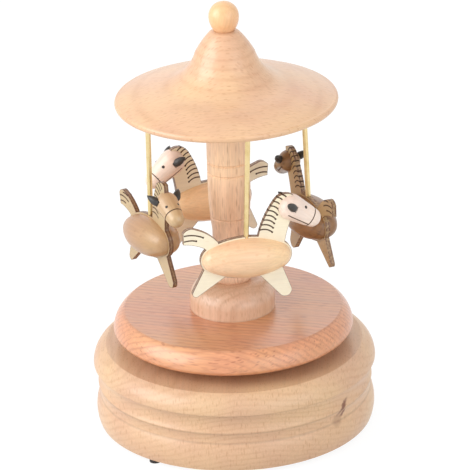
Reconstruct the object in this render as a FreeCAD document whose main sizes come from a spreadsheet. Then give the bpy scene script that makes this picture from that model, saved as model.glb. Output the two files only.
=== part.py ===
"""A wooden carousel music box: a turned base with a wind-up movement, and a platform with four horses."""
import FreeCAD, Part
import math
import os
from types import SimpleNamespace

import Sketcher

# Lengths are millimetres, angles degrees, counts and gear modules plain numbers.
SIZES = {
    # Feet and turned base
    "foot_height": 2.0,
    "foot_radius": 2.2,
    "foot_inset": 4.7,
    "foot_count": 3,
    "foot_angle": 231.0,
    "base_radius": 55.0,
    "base_wall": 11.0,
    "base_top_inset": 5.0,
    "ovolo_height": 6.8,
    "ovolo_radius": 8.2,
    "lip_height": 0.6,
    "lip_depth": 1.3,
    "waist_inset": 1.5,
    "cove_radius": 6.8,
    "bead_rise": 15.9,
    "bead_height": 0.6,
    "torus_inset": 2.0,
    "torus_height": 11.2,
    "torus_radius": 14.2,
    "low_cove_radius": 5.5,
    "toe_inset": 1.5,
    "top_wall": 4.2,
    # Bottom cover
    "cover_thickness": 2.5,
    "cover_lap": 4.0,
    "cover_gap": 0.2,
    "cover_screw_inset": 1.4,
    "cover_screw_count": 4,
    "screw_shank": 1.1,
    "screw_head": 2.1,
    "screw_head_height": 1.1,
    "cover_screw_length": 8.0,
    # Platform, hub and spindle
    "platform_gap": 5.0,
    "platform_thickness": 9.0,
    "platform_flat": 42.2,
    "platform_radius": 46.6,
    "platform_edge_rise": 2.0,
    "platform_edge_radius": 9.8,
    "platform_under_radius": 2.2,
    "platform_under_inset": 1.5,
    "spindle_radius": 2.5,
    "spindle_grip": 3.0,
    "spindle_fit": 0.05,
    "bush_wall": 1.5,
    "bush_flange_radius": 7.5,
    "bush_flange": 1.0,
    "washer_radius": 9.0,
    "washer_thickness": 1.4,
    "washer_gap": 0.1,
    "hub_radius": 12.0,
    "hub_screw_circle": 8.5,
    "hub_screw_count": 3,
    "hub_screw_length": 5.5,
    # Post foot, post, canopy and finial
    "post_foot_radius": 16.5,
    "post_foot_side": 4.5,
    "post_foot_height": 11.7,
    "post_foot_round": 7.6,
    "post_foot_crown": 10.4,
    "tenon_radius": 4.0,
    "tenon_depth": 4.5,
    "post_radius": 8.2,
    "post_waist": 7.0,
    "post_height": 72.9,
    "post_bead_height": 5.0,
    "post_bead_round": 4.0,
    "post_neck_height": 21.0,
    "post_groove_low": 26.7,
    "post_groove_mid": 44.8,
    "post_groove_high": 49.3,
    "post_groove_depth": 0.5,
    "post_barrel_round": 160.0,
    "canopy_radius": 42.0,
    "canopy_height": 29.2,
    "canopy_rim": 2.6,
    "canopy_rim_round": 1.45,
    "canopy_rim_inset": 0.8,
    "canopy_brim_round": 70.0,
    "canopy_flare_radius": 25.0,
    "canopy_flare_height": 8.0,
    "canopy_flare_round": 17.5,
    "canopy_bell_radius": 11.5,
    "canopy_bell_height": 20.2,
    "canopy_bell_round": 40.0,
    "canopy_shoulder_radius": 6.2,
    "canopy_shoulder_drop": 1.3,
    "canopy_shoulder_round": 4.5,
    "canopy_crown_radius": 4.2,
    "canopy_tenon": 10.0,
    "ball_radius": 5.8,
    "ball_rise": 5.5,
    "ball_flat": 3.9,
    "ball_peg_radius": 2.0,
    "ball_peg_length": 5.0,
    # Rods and horses
    "rod_radius": 1.0,
    "rod_circle": 30.7,
    "rod_seat": 4.0,
    "rod_in_horse": 7.5,
    "front_rod_angle": 284.4,
    "right_rod_angle": 17.1,
    "back_rod_angle": 100.5,
    "left_rod_angle": 192.1,
    "front_turn_angle": 0.0,
    "right_turn_angle": 5.0,
    "back_turn_angle": 15.5,
    "left_turn_angle": 14.0,
    "front_lean_angle": 2.5,
    "right_lean_angle": 3.8,
    "back_lean_angle": -2.5,
    "left_lean_angle": 1.0,
    "front_nod_angle": 0.0,
    "right_nod_angle": 0.0,
    "back_nod_angle": -1.2,
    "left_nod_angle": -8.0,
    "front_horse_drop": 51.0,
    "right_horse_drop": 50.8,
    "back_horse_drop": 52.2,
    "left_horse_drop": 51.3,
    "front_head_angle": 31.0,
    "right_head_angle": 29.4,
    "back_head_angle": 40.0,
    "left_head_angle": 33.0,
    "front_head_drop": 0.0,
    "right_head_drop": 0.8,
    "back_head_drop": 0.4,
    "left_head_drop": 2.2,
    "plate_thickness": 1.8,
    "plate_rim": 0.7,
    "flank_half_length": 17.2,
    "flank_half_height": 7.7,
    "flank_end_round": 5.0,
    "skull_x": 17.2,
    "skull_z": 18.6,
    "light_skull_radius": 5.1,
    "light_muzzle_radius": 3.7,
    "light_muzzle_reach": 9.5,
    "dark_skull_radius": 4.4,
    "dark_muzzle_radius": 3.2,
    "dark_muzzle_reach": 8.6,
    "ear_radius": 1.6,
    "ear_tip_radius": 0.3,
    "ear_length": 5.2,
    "ear_root_x": 0.23,
    "light_ear_root_y": 3.9,
    "dark_ear_root_y": 3.5,
    "ear_root_z": 0.82,
    "ear_lift_angle": 8.2,
    "ear_sweep_angle": 56.6,
    "chest_setback": 3.2,
    "throat_setback": 2.3,
    "throat_drop": 3.3,
    "throat_round": 40.0,
    "jaw_setback": 0.2,
    "jaw_drop": 5.4,
    "forelock_reach": 0.8,
    "forelock_rise": 5.0,
    "crest_setback": 6.6,
    "crest_rise": 3.5,
    "crest_round": 5.4,
    "neck_back_x": 4.4,
    "neck_back_round": 39.0,
    "tail_root_x": 11.0,
    "tail_root_z": 7.0,
    "tail_top_x": 20.0,
    "tail_top_z": 13.0,
    "tail_back_round": 19.0,
    "tail_tip_x": 24.8,
    "tail_tip_z": 11.7,
    "tail_tip_round": 3.6,
    "tail_foot_x": 24.6,
    "tail_foot_z": 7.2,
    "tail_hollow_x": 16.6,
    "tail_hollow_z": 5.1,
    "tail_hollow_round": 20.0,
    "rear_leg_back_x": 15.7,
    "rear_leg_back_z": 2.0,
    "rear_leg_front_x": 8.0,
    "rear_leg_front_z": 7.2,
    "rear_hoof_x": 19.4,
    "rear_hoof_z": 13.2,
    "rear_hoof_radius": 1.45,
    "rear_hoof_back_angle": -24.0,
    "rear_hoof_front_angle": 57.0,
    "front_leg_back_x": 4.0,
    "front_leg_back_z": 6.4,
    "front_leg_front_x": 13.3,
    "front_leg_front_z": 2.7,
    "front_hoof_x": 15.6,
    "front_hoof_z": 14.9,
    "front_hoof_radius": 2.6,
    "front_hoof_back_angle": 42.0,
    "front_hoof_front_angle": -21.0,
    # Movement: bedplate, spring and barrel
    "bedplate_thickness": 1.6,
    "bedplate_margin": 1.4,
    "bedplate_back": 10.0,
    "bedplate_corner": 2.0,
    "bedplate_screw_length": 4.9,
    "cavity_clearance": 0.6,
    "bridge_headroom": 0.4,
    "bridge_thickness": 0.8,
    "bridge_width": 10.0,
    "bridge_gap": 2.0,
    "run_gap": 0.5,
    "barrel_height": 6.0,
    "barrel_radius": 12.0,
    "barrel_wall": 0.8,
    "barrel_plate": 1.0,
    "lid_thickness": 0.8,
    "arbor_radius": 3.0,
    "arbor_pivot": 1.0,
    "pivot_length": 3.0,
    "pivot_fit": 0.05,
    "spring_thickness": 0.35,
    "spring_turns": 6,
    "spring_clearance": 0.35,
    # Movement: gears, cylinder and comb
    "gear_module": 0.5,
    "crown_teeth": 40,
    "pinion_teeth": 20,
    "cylinder_gear_teeth": 24,
    "governor_pinion_teeth": 12,
    "governor_wheel_teeth": 20,
    "crown_thickness": 0.8,
    "crown_face": 2.4,
    "pinion_face": 2.2,
    "gear_face": 1.4,
    "end_gap": 0.6,
    "bedplate_drop": 8.7,
    "cylinder_radius": 6.5,
    "cylinder_shaft": 1.0,
    "pin_radius": 0.22,
    "pin_height": 0.6,
    "pins_per_tooth": 3,
    "tab_thickness": 1.6,
    "cylinder_tab_width": 5.0,
    "governor_tab_width": 3.2,
    "arm_shaft": 0.6,
    "comb_teeth": 18,
    "comb_thickness": 1.0,
    "comb_gap": 0.2,
    "comb_slot": 0.3,
    "comb_tooth_length": 10.5,
    "comb_heel": 8.0,
    # Movement: governor
    "worm_radius": 1.5,
    "worm_turns": 5,
    "fan_radius": 4.0,
    "fan_height": 3.0,
    "fan_thickness": 0.5,
    "fan_hub": 1.1,
    "fan_rise": 3.0,
    "cock_thickness": 1.2,
    "cock_width": 3.0,
    "cock_gap": 0.9,
    "cock_headroom": 0.9,
}

# Tooth proportions in modules: height above and below the pitch line, and thickness at tip and root.
TOOTH_ADDENDUM = 0.8
TOOTH_DEDENDUM = 1.0
TOOTH_TIP = 0.7
TOOTH_ROOT = 1.5
TOOTH_SINK = 0.2
FULL_TURN = 360.0
HALF_TURN = FULL_TURN / 2
QUARTER_TURN = FULL_TURN / 4
# Turn between the pins of neighbouring tracks, so that no two tracks repeat.
PIN_STEP = 137.5

# Horses by the side of the post that they stand on, with the tone of their wood. Dark ones have smaller heads.
HORSES = {"right": "dark", "back": "light", "left": "dark", "front": "light"}

doc = FreeCAD.newDocument("CarouselMusicBox")
sheet = doc.addObject("Spreadsheet::Sheet", "Sizes")
for row, (alias, number) in enumerate(SIZES.items(), start=1):
    sheet.set(f"A{row}", str(number))
    sheet.setAlias(f"A{row}", alias)
doc.recompute()


class Length:
    """A size with the formula that gives it, so that sums of sizes stay tied to the sheet."""

    def __init__(self, formula, value):
        self.formula = formula
        self.value = value

    def __add__(self, other):
        other = as_length(other)
        return Length(f"({self.formula} + {other.formula})", self.value + other.value)

    def __sub__(self, other):
        other = as_length(other)
        return Length(f"({self.formula} - {other.formula})", self.value - other.value)

    def __mul__(self, other):
        other = as_length(other)
        return Length(f"({self.formula} * {other.formula})", self.value * other.value)

    def __truediv__(self, other):
        other = as_length(other)
        return Length(f"({self.formula} / {other.formula})", self.value / other.value)

    def __radd__(self, other):
        return as_length(other) + self

    def __rsub__(self, other):
        return as_length(other) - self

    def __rmul__(self, other):
        return as_length(other) * self

    def __neg__(self):
        return as_length(0) - self


def as_length(number):
    """A plain number as a Length, and a Length as it is."""
    if isinstance(number, Length):
        return number
    return Length(repr(float(number)), float(number))


def other_side(diagonal, side):
    """Length of the other side of a right angle, from its diagonal and one side."""
    formula = f"sqrt({diagonal.formula} * {diagonal.formula} - {side.formula} * {side.formula})"
    return Length(formula, math.sqrt(diagonal.value ** 2 - side.value ** 2))


def on_circle(radius, angle):
    """X and Y of a point on a circle about the Z axis."""
    radius = as_length(radius)
    angle = as_length(angle)
    turn = math.radians(angle.value)
    x = Length(f"({radius.formula} * cos({angle.formula}))", radius.value * math.cos(turn))
    y = Length(f"({radius.formula} * sin({angle.formula}))", radius.value * math.sin(turn))
    return x, y


s = SimpleNamespace(**{alias: Length(f"Sizes.{alias}", float(sheet.get(alias))) for alias in SIZES})

# Heights, from the floor up
cover_top = s.foot_height + s.cover_thickness
bridge_floor = cover_top + s.bridge_headroom
bridge_top = bridge_floor + s.bridge_thickness
barrel_floor = bridge_top + s.run_gap
barrel_top = barrel_floor + s.barrel_height
crown_root = barrel_top + s.crown_thickness
crown_pitch = crown_root + s.gear_module * TOOTH_DEDENDUM
axis_height = crown_pitch + s.gear_module * s.pinion_teeth / 2
bedplate_floor = axis_height + s.bedplate_drop
ceiling = bedplate_floor + s.bedplate_thickness
base_top = ceiling + s.top_wall
bush_top = base_top + s.bush_flange
washer_top = bush_top + s.washer_thickness
hub_floor = washer_top + s.washer_gap
platform_floor = base_top + s.platform_gap
platform_top = platform_floor + s.platform_thickness
post_floor = platform_top + s.post_foot_height
canopy_floor = post_floor + s.post_height
canopy_top = canopy_floor + s.canopy_height
ball_centre = canopy_top + s.ball_rise

# The spindle's bush
bush_bore = s.spindle_radius + s.spindle_fit
bush_outside = bush_bore + s.bush_wall

# Room inside the base, and the movement's parts beside the cylinder, towards the front
cavity_radius = s.base_radius - s.base_wall
governor_y = -(s.gear_module * (s.cylinder_gear_teeth + s.governor_pinion_teeth) / 2)
worm_y = governor_y - s.gear_module * s.governor_wheel_teeth / 2 - s.worm_radius
cock_y = worm_y - s.fan_radius - s.cock_gap - s.cock_thickness
movement_corner = other_side(cavity_radius - s.cavity_clearance, cock_y)

# Places along the cylinder shaft, in from the wall of the room to the barrel
wheel_middle = movement_corner - s.bedplate_margin - s.cock_width / 2
wheel_start = wheel_middle - s.gear_face / 2
outer_tab = wheel_start - s.end_gap - s.tab_thickness
shaft_end = wheel_start
gear_end = outer_tab - 2 * s.end_gap
gear_start = gear_end - s.gear_face
drum_end = gear_start - s.end_gap
drum_start = s.barrel_radius + s.end_gap
drum_length = drum_end - drum_start
crown_radius = s.gear_module * s.crown_teeth / 2
pinion_start = crown_radius - s.pinion_face / 2
inner_tab = pinion_start - s.end_gap - s.tab_thickness
governor_inner_tab = gear_start - s.end_gap - s.tab_thickness
governor_outer_tab = wheel_start + s.gear_face + s.end_gap
governor_end = governor_outer_tab + s.tab_thickness
comb_tip = s.cylinder_radius + s.pin_height + s.comb_gap
comb_root = comb_tip + s.comb_tooth_length
comb_back = comb_root + s.comb_heel


def new_body(name):
    """An empty body that takes the piece's name."""
    body = doc.addObject("PartDesign::Body", name)
    body.Label = name
    return body


def origin_part(body, role):
    """One of a body's own three planes or axes."""
    return next(feature for feature in body.Origin.OriginFeatures if feature.Role == role)


def arc_between(start, end, radius):
    """The short arc from start to end; a positive radius swells to the right of the way taken."""
    chord = end - start
    middle = (start + end) * 0.5
    reach = math.sqrt(max(radius * radius - chord.Length * chord.Length / 4, 0.0))
    left = FreeCAD.Vector(-chord.y, chord.x, 0).normalize()
    sense = 1 if radius > 0 else -1
    centre = middle + left * (reach * sense)
    circle = Part.Circle(centre, FreeCAD.Vector(0, 0, 1), abs(radius))
    first, last = (start, end) if radius > 0 else (end, start)
    return Part.ArcOfCircle(circle, circle.parameter(first), circle.parameter(last))


def draw_outline(sketch, points):
    """Draw a closed outline, anticlockwise, and tie its corners and arcs to their sizes.

    A point is (x, y), or (x, y, radius) where the way to it is an arc: swelling if the radius is
    positive and hollow if it is negative.
    """
    corners = [(as_length(point[0]), as_length(point[1])) for point in points]
    spots = [FreeCAD.Vector(x.value, y.value, 0) for x, y in corners]
    ties = []
    bindings = []
    starts = []
    ends = []
    for index, spot in enumerate(spots):
        following = (index + 1) % len(points)
        radius = as_length(points[following][2]) if len(points[following]) > 2 else None
        if radius is None:
            sketch.addGeometry(Part.LineSegment(spot, spots[following]), False)
        else:
            sketch.addGeometry(arc_between(spot, spots[following], radius.value), False)
            size = radius if radius.value > 0 else -radius
            bindings.append((len(ties), size))
            ties.append(Sketcher.Constraint("Radius", index, size.value))
        backward = radius is not None and radius.value < 0
        starts.append(2 if backward else 1)
        ends.append(1 if backward else 2)
    for index, (x, y) in enumerate(corners):
        following = (index + 1) % len(points)
        ties.append(Sketcher.Constraint("Coincident", index, ends[index], following, starts[following]))
        for kind, axis, place in (("DistanceX", -2, x), ("DistanceY", -1, y)):
            if place.formula == "0.0":
                ties.append(Sketcher.Constraint("PointOnObject", index, starts[index], axis))
            else:
                bindings.append((len(ties), place))
                ties.append(Sketcher.Constraint(kind, -1, 1, index, starts[index], place.value))
    sketch.addConstraint(ties)
    for number, size in bindings:
        sketch.setExpression(f"Constraints[{number}]", size.formula)


def sketch_on(body, name, role, points, rise=None):
    """A closed sketch on one of a body's planes, or at a distance above it."""
    sketch = body.newObject("Sketcher::SketchObject", name)
    sketch.AttachmentSupport = (origin_part(body, role), [""])
    sketch.MapMode = "FlatFace"
    if rise is not None:
        sketch.setExpression("AttachmentOffset.Base.z", as_length(rise).formula)
    draw_outline(sketch, points)
    return sketch


def turned(name, points):
    """A piece turned about the Z axis from its half outline of radii and heights."""
    body = new_body(name)
    add_turning(body, "Turning", points)
    return body


def add_turning(body, name, points, axis="V_Axis", angle=FULL_TURN, backward=False):
    """Turn a half outline about one axis of its own sketch."""
    sketch = sketch_on(body, name + "Outline", "XZ_Plane", points)
    turning = body.newObject("PartDesign::Revolution", name)
    turning.Profile = sketch
    turning.ReferenceAxis = (sketch, [axis])
    turning.Angle = angle
    turning.Reversed = backward
    body.Tip = turning
    return turning


def add_pad(body, name, role, points, thickness, rise=None, both_ways=False):
    """Thicken a closed outline from its plane, one way or both."""
    sketch = sketch_on(body, name + "Outline", role, points, rise)
    pad = body.newObject("PartDesign::Pad", name)
    pad.Profile = sketch
    pad.Midplane = both_ways
    pad.setExpression("Length", as_length(thickness).formula)
    body.Tip = pad
    return pad


def add_round_pattern(body, name, feature, count):
    """Repeat a feature evenly round the body's own Z axis."""
    pattern = body.newObject("PartDesign::PolarPattern", name)
    pattern.Originals = [feature]
    pattern.Axis = (origin_part(body, "Z_Axis"), [""])
    pattern.Angle = FULL_TURN
    pattern.setExpression("Occurrences", count.formula)
    body.Tip = pattern


def put(piece, x=0, y=0, z=0, rotation=None):
    """Set where a piece stands, tied to the sizes that place it."""
    places = [as_length(value) for value in (x, y, z)]
    spot = FreeCAD.Vector(*[place.value for place in places])
    piece.Placement = FreeCAD.Placement(spot, rotation or FreeCAD.Rotation())
    for axis, place in zip("xyz", places):
        piece.setExpression(f"Placement.Base.{axis}", place.formula)
    return piece


def cylinder(name, radius, height):
    """A plain round bar or disc that rises from its own origin."""
    bar = doc.addObject("Part::Cylinder", name)
    bar.setExpression("Radius", as_length(radius).formula)
    bar.setExpression("Height", as_length(height).formula)
    return bar


def box(name, length, width, height):
    """A plain block that rises from one corner."""
    block = doc.addObject("Part::Box", name)
    for side, size in (("Length", length), ("Width", width), ("Height", height)):
        block.setExpression(side, as_length(size).formula)
    return block


def cut(name, piece, *tools):
    """A piece less the pieces that seat in it."""
    whole = doc.addObject("Part::Compound", name + "_tools")
    whole.Links = list(tools)
    result = doc.addObject("Part::Cut", name)
    result.Base = piece
    result.Tool = whole
    result.Label = name
    return result


def group(name, members):
    """Like pieces kept together as one node of separate solids."""
    together = doc.addObject("Part::Compound", name)
    together.Links = list(members)
    together.Label = name
    return together


def screw(name, length):
    """A flat-headed wood screw, point up, with its head's top face at the origin."""
    shoulder = s.screw_head_height
    return turned(name, [
        (0, 0),
        (s.screw_head, 0),
        (s.screw_shank, shoulder),
        (s.screw_shank, length - s.screw_shank),
        (0, length),
    ])


def ring_of(name, count, circle, first_angle, height, make):
    """Copies of one piece evenly round the Z axis."""
    members = []
    for number in range(int(count.value)):
        angle = first_angle + FULL_TURN / count.value * number
        x, y = on_circle(circle, angle)
        members.append(put(make(f"{name}_{number + 1}"), x, y, height))
    return group(name, members)


# Directions of a wheel whose axle runs along X: its own Z points along X and its own X along Y
ALONG_X = FreeCAD.Rotation(FreeCAD.Vector(1, 1, 1), 120)


def axle_turn(angle):
    """A wheel on an axle along X, with its first tooth at an angle from Y towards Z."""
    return FreeCAD.Rotation(FreeCAD.Vector(1, 0, 0), angle) * ALONG_X


def spur_wheel(name, teeth, face, bore):
    """A toothed wheel about Z, from its origin up, with its first tooth on +X."""
    pitch = s.gear_module * teeth / 2
    root = pitch - s.gear_module * TOOTH_DEDENDUM
    tip = pitch + s.gear_module * TOOTH_ADDENDUM
    sunk = root - s.gear_module * TOOTH_SINK
    half_tip = s.gear_module * TOOTH_TIP / 2
    half_root = s.gear_module * TOOTH_ROOT / 2
    body = turned(name, [(bore, 0), (root, 0), (root, face), (bore, face)])
    tooth = add_pad(body, "Tooth", "XY_Plane", [
        (sunk, -half_root),
        (tip, -half_tip),
        (tip, half_tip),
        (sunk, half_root),
    ], face)
    add_round_pattern(body, "Teeth", tooth, teeth)
    return body


def oval_join(half_length, half_height, end_round):
    """Where the end arc of a four-arc oval meets its flat arc, and the flat arc's radius."""
    reach = half_length - end_round
    squares = reach * reach + half_height * half_height - end_round * end_round
    flat = squares / (2 * (half_height - end_round))
    x = reach * flat / (flat - end_round)
    z = end_round * (flat - half_height) / (flat - end_round)
    return x, z, flat


# Turned base, feet and cover


def make_base():
    """The moulded wooden base, hollow from below, with the rebate that takes the cover."""
    top_radius = s.base_radius - s.base_top_inset
    lip_floor = base_top - s.ovolo_height - s.lip_height
    bead_top = s.foot_height + s.bead_rise
    cover_seat = cavity_radius + s.cover_lap
    waist = s.base_radius - s.waist_inset
    return turned("base_block", [
        (bush_outside, ceiling),
        (cavity_radius, ceiling),
        (cavity_radius, cover_top),
        (cover_seat, cover_top),
        (cover_seat, s.foot_height),
        (s.base_radius - s.toe_inset, s.foot_height),
        (s.base_radius - s.torus_inset, s.foot_height + s.torus_height, s.torus_radius),
        (waist, bead_top - s.bead_height, -s.low_cove_radius),
        (waist, bead_top),
        (s.base_radius - s.lip_depth, lip_floor - s.lip_height, -s.cove_radius),
        (s.base_radius, lip_floor),
        (s.base_radius, lip_floor + s.lip_height),
        (top_radius, base_top, s.ovolo_radius),
        (bush_outside, base_top),
    ])


def make_rubber_feet():
    """Dark round feet near the rim of the base."""
    return ring_of("rubber_feet", s.foot_count, s.base_radius - s.foot_inset, s.foot_angle, 0,
                   lambda name: cylinder(name, s.foot_radius, s.foot_height))


def make_cover_screws():
    """Screws that hold the cover in its rebate."""
    circle = cavity_radius + s.cover_screw_inset
    return ring_of("cover_screws", s.cover_screw_count, circle, as_length(0), s.foot_height,
                   lambda name: screw(name, s.cover_screw_length))


def make_cover(screws):
    """The plywood disc that closes the base."""
    disc = turned("cover_disc", [
        (0, s.foot_height),
        (cavity_radius + s.cover_lap - s.cover_gap, s.foot_height),
        (cavity_radius + s.cover_lap - s.cover_gap, cover_top),
        (0, cover_top),
    ])
    return cut("bottom_cover", disc, screws)


# Movement, hung from the ceiling of the base


def make_bush():
    """Flanged bush in the top of the base, where the spindle runs."""
    return turned("spindle_bush", [
        (bush_bore, ceiling),
        (bush_outside, ceiling),
        (bush_outside, base_top),
        (s.bush_flange_radius, base_top),
        (s.bush_flange_radius, bush_top),
        (bush_bore, bush_top),
    ])


def make_washer():
    """Felt slip washer between the bush and the hub."""
    bore = s.spindle_radius + s.washer_gap
    return turned("felt_washer", [
        (bore, bush_top),
        (s.washer_radius, bush_top),
        (s.washer_radius, washer_top),
        (bore, washer_top),
    ])


def make_bedplate_screws():
    """Screws that hold the bedplate to the wood above it."""
    side = s.barrel_radius - s.screw_head
    back = -(s.bedplate_back - s.screw_head - s.bedplate_margin)
    places = [(back, -side), (back, side), (outer_tab, comb_root - s.screw_head)]
    floor = bedplate_floor - s.screw_head_height
    screws = []
    for number, (x, y) in enumerate(places, start=1):
        screws.append(put(screw(f"bedplate_screw_{number}", s.bedplate_screw_length), x, y, floor))
    return group("bedplate_screws", screws)


def make_bedplate(screws):
    """Steel plate that carries the movement."""
    front = cock_y - s.bedplate_margin
    back_edge = comb_back + s.bedplate_margin
    right = governor_end + s.bedplate_margin
    corner = wheel_middle + s.cock_width / 2 + s.bedplate_margin / 2
    body = new_body("bedplate_blank")
    add_pad(body, "Plate", "XY_Plane", [
        (-s.bedplate_back, cock_y),
        (-s.bedplate_back + s.bedplate_corner, front, s.bedplate_corner),
        (corner - s.bedplate_corner, front),
        (corner, cock_y, s.bedplate_corner),
        (right, worm_y),
        (right, s.cylinder_tab_width),
        (gear_end, comb_back),
        (gear_end - s.bedplate_corner, back_edge, s.bedplate_corner),
        (s.bedplate_corner, back_edge),
        (-s.bedplate_back, s.barrel_radius + s.bridge_gap + s.bedplate_margin),
    ], s.bedplate_thickness, rise=bedplate_floor)
    hole = put(cylinder("bedplate_hole", s.spindle_radius + s.run_gap, s.bedplate_thickness),
               0, 0, bedplate_floor)
    pivot = put(cylinder("worm_hole", s.arm_shaft + s.pivot_fit, s.bedplate_thickness),
                wheel_middle, worm_y, bedplate_floor)
    return cut("bedplate", body, screws, hole, pivot)


def make_bridge():
    """Steel strap under the barrel, with a leg up to the bedplate on each side."""
    inside = s.barrel_radius + s.bridge_gap
    outside = inside + s.bridge_thickness
    body = new_body("bridge_strap")
    add_pad(body, "Strap", "YZ_Plane", [
        (-outside, bridge_floor),
        (outside, bridge_floor),
        (outside, bedplate_floor),
        (inside, bedplate_floor),
        (inside, bridge_top),
        (-inside, bridge_top),
        (-inside, bedplate_floor),
        (-outside, bedplate_floor),
    ], s.bridge_width, both_ways=True)
    return body


def make_spring_arbor():
    """Fixed post on the bridge that holds the inner end of the mainspring."""
    shoulder = barrel_top - s.barrel_plate - s.run_gap
    return turned("spring_arbor", [
        (0, bridge_floor),
        (s.arbor_pivot, bridge_floor),
        (s.arbor_pivot, bridge_top),
        (s.arbor_radius, bridge_top),
        (s.arbor_radius, shoulder),
        (s.arbor_pivot, shoulder),
        (s.arbor_pivot, shoulder + s.run_gap + s.pivot_length),
        (0, shoulder + s.run_gap + s.pivot_length),
    ])


def make_spindle():
    """Drive spindle from the barrel up into the platform, with a bore for the arbor's pivot."""
    floor = barrel_top - s.barrel_plate
    bore = s.arbor_pivot + s.pivot_fit
    bore_top = floor + s.pivot_length + s.run_gap
    return turned("drive_spindle", [
        (bore, floor),
        (s.spindle_radius, floor),
        (s.spindle_radius, platform_floor + s.spindle_grip),
        (0, platform_floor + s.spindle_grip),
        (0, bore_top),
        (bore, bore_top),
    ])


def make_barrel():
    """Cup for the mainspring, fixed on the spindle and open below for its lid."""
    inside = s.barrel_radius - s.barrel_wall
    return turned("spring_barrel", [
        (s.spindle_radius, barrel_top - s.barrel_plate),
        (inside, barrel_top - s.barrel_plate),
        (inside, barrel_floor),
        (s.barrel_radius, barrel_floor),
        (s.barrel_radius, barrel_top),
        (s.spindle_radius, barrel_top),
    ])


def make_barrel_lid():
    """Snap-in lid round the arbor."""
    bore = s.arbor_radius + s.spring_clearance
    rim = s.barrel_radius - s.barrel_wall
    return turned("barrel_lid", [
        (bore, barrel_floor),
        (rim, barrel_floor),
        (rim, barrel_floor + s.lid_thickness),
        (bore, barrel_floor + s.lid_thickness),
    ])


def spiral_edges(first_radius, half_step, half_turns):
    """Half circles on two alternating centres, which together wind steadily outwards."""
    edges = []
    upright = FreeCAD.Vector(0, 0, 1)
    radius = first_radius
    centre = 0.0
    for number in range(half_turns):
        side = 1 if number % 2 == 0 else -1
        circle = Part.Circle(FreeCAD.Vector(centre, 0, 0), upright, radius)
        edges.append(Part.ArcOfCircle(circle, 0, math.pi) if side > 0
                     else Part.ArcOfCircle(circle, math.pi, 2 * math.pi))
        centre += side * half_step
        radius += half_step
    return edges


def make_mainspring():
    """Flat strip wound in the barrel, from just off the arbor to the barrel's wall."""
    half_turns = int(2 * s.spring_turns.value)
    inner = s.arbor_radius.value + s.spring_clearance.value
    wall = s.barrel_radius.value - s.barrel_wall.value
    thickness = s.spring_thickness.value
    half_step = (wall - thickness - inner) / (half_turns + 1)
    near = spiral_edges(inner, half_step, half_turns)
    far = spiral_edges(inner + thickness, half_step, half_turns)
    edges = [arc.toShape() for arc in near + far]
    for index, arc_end in ((0, "FirstParameter"), (half_turns - 1, "LastParameter")):
        start = near[index].value(getattr(near[index], arc_end))
        end = far[index].value(getattr(far[index], arc_end))
        edges.append(Part.makeLine(start, end))
    strip = Part.Face(Part.Wire(Part.__sortEdges__(edges)))
    floor = barrel_floor.value + s.lid_thickness.value + s.spring_clearance.value
    top = barrel_top.value - s.barrel_plate.value - s.spring_clearance.value
    print("gap between turns of the mainspring:", round(2 * half_step - thickness, 2))
    spring = doc.addObject("Part::Feature", "mainspring")
    spring.Shape = strip.extrude(FreeCAD.Vector(0, 0, top - floor))
    spring.Placement = FreeCAD.Placement(FreeCAD.Vector(0, 0, floor), FreeCAD.Rotation())
    return spring


def make_crown_wheel():
    """Face-toothed wheel on top of the barrel."""
    inside = crown_radius - s.crown_face / 2
    outside = crown_radius + s.crown_face / 2
    half_tip = s.gear_module * TOOTH_TIP / 2
    half_root = s.gear_module * TOOTH_ROOT / 2
    tip = crown_pitch + s.gear_module * TOOTH_ADDENDUM
    sunk = crown_root - s.gear_module * TOOTH_SINK
    body = turned("crown_wheel", [
        (s.spindle_radius, barrel_top),
        (outside, barrel_top),
        (outside, crown_root),
        (s.spindle_radius, crown_root),
    ])
    tooth = add_pad(body, "Tooth", "YZ_Plane", [
        (-half_root, sunk),
        (half_root, sunk),
        (half_tip, tip),
        (-half_tip, tip),
    ], outside - inside, rise=inside)
    add_round_pattern(body, "Teeth", tooth, s.crown_teeth)
    return body


def bearing_tab(name, x, y, width, bore):
    """A tab that hangs from the bedplate, round-ended below, with a bearing hole."""
    half = width / 2
    body = new_body(name)
    add_pad(body, "Tab", "YZ_Plane", [
        (y - half, axis_height),
        (y, axis_height - half, half),
        (y + half, axis_height, half),
        (y + half, bedplate_floor),
        (y - half, bedplate_floor),
    ], s.tab_thickness, rise=x)
    hole = put(cylinder(name + "_hole", bore, s.tab_thickness), x, y, axis_height, ALONG_X)
    return cut(name, body, hole)


def make_cylinder_bearings():
    """The two tabs that carry the cylinder's shaft."""
    bore = s.cylinder_shaft + s.pivot_fit
    return group("cylinder_bearings", [
        bearing_tab("cylinder_tab_inner", inner_tab, as_length(0), s.cylinder_tab_width, bore),
        bearing_tab("cylinder_tab_outer", outer_tab, as_length(0), s.cylinder_tab_width, bore),
    ])


def make_governor_bearings():
    """The two tabs that carry the governor's arbor."""
    bore = s.arm_shaft + s.pivot_fit
    return group("governor_bearings", [
        bearing_tab("governor_tab_inner", governor_inner_tab, governor_y, s.governor_tab_width, bore),
        bearing_tab("governor_tab_outer", governor_outer_tab, governor_y, s.governor_tab_width, bore),
    ])


def make_cylinder_shaft():
    """Steel shaft of the pinned cylinder."""
    start = inner_tab - s.end_gap
    shaft = cylinder("cylinder_shaft", s.cylinder_shaft, shaft_end - start)
    return put(shaft, start, 0, axis_height, ALONG_X)


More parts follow.
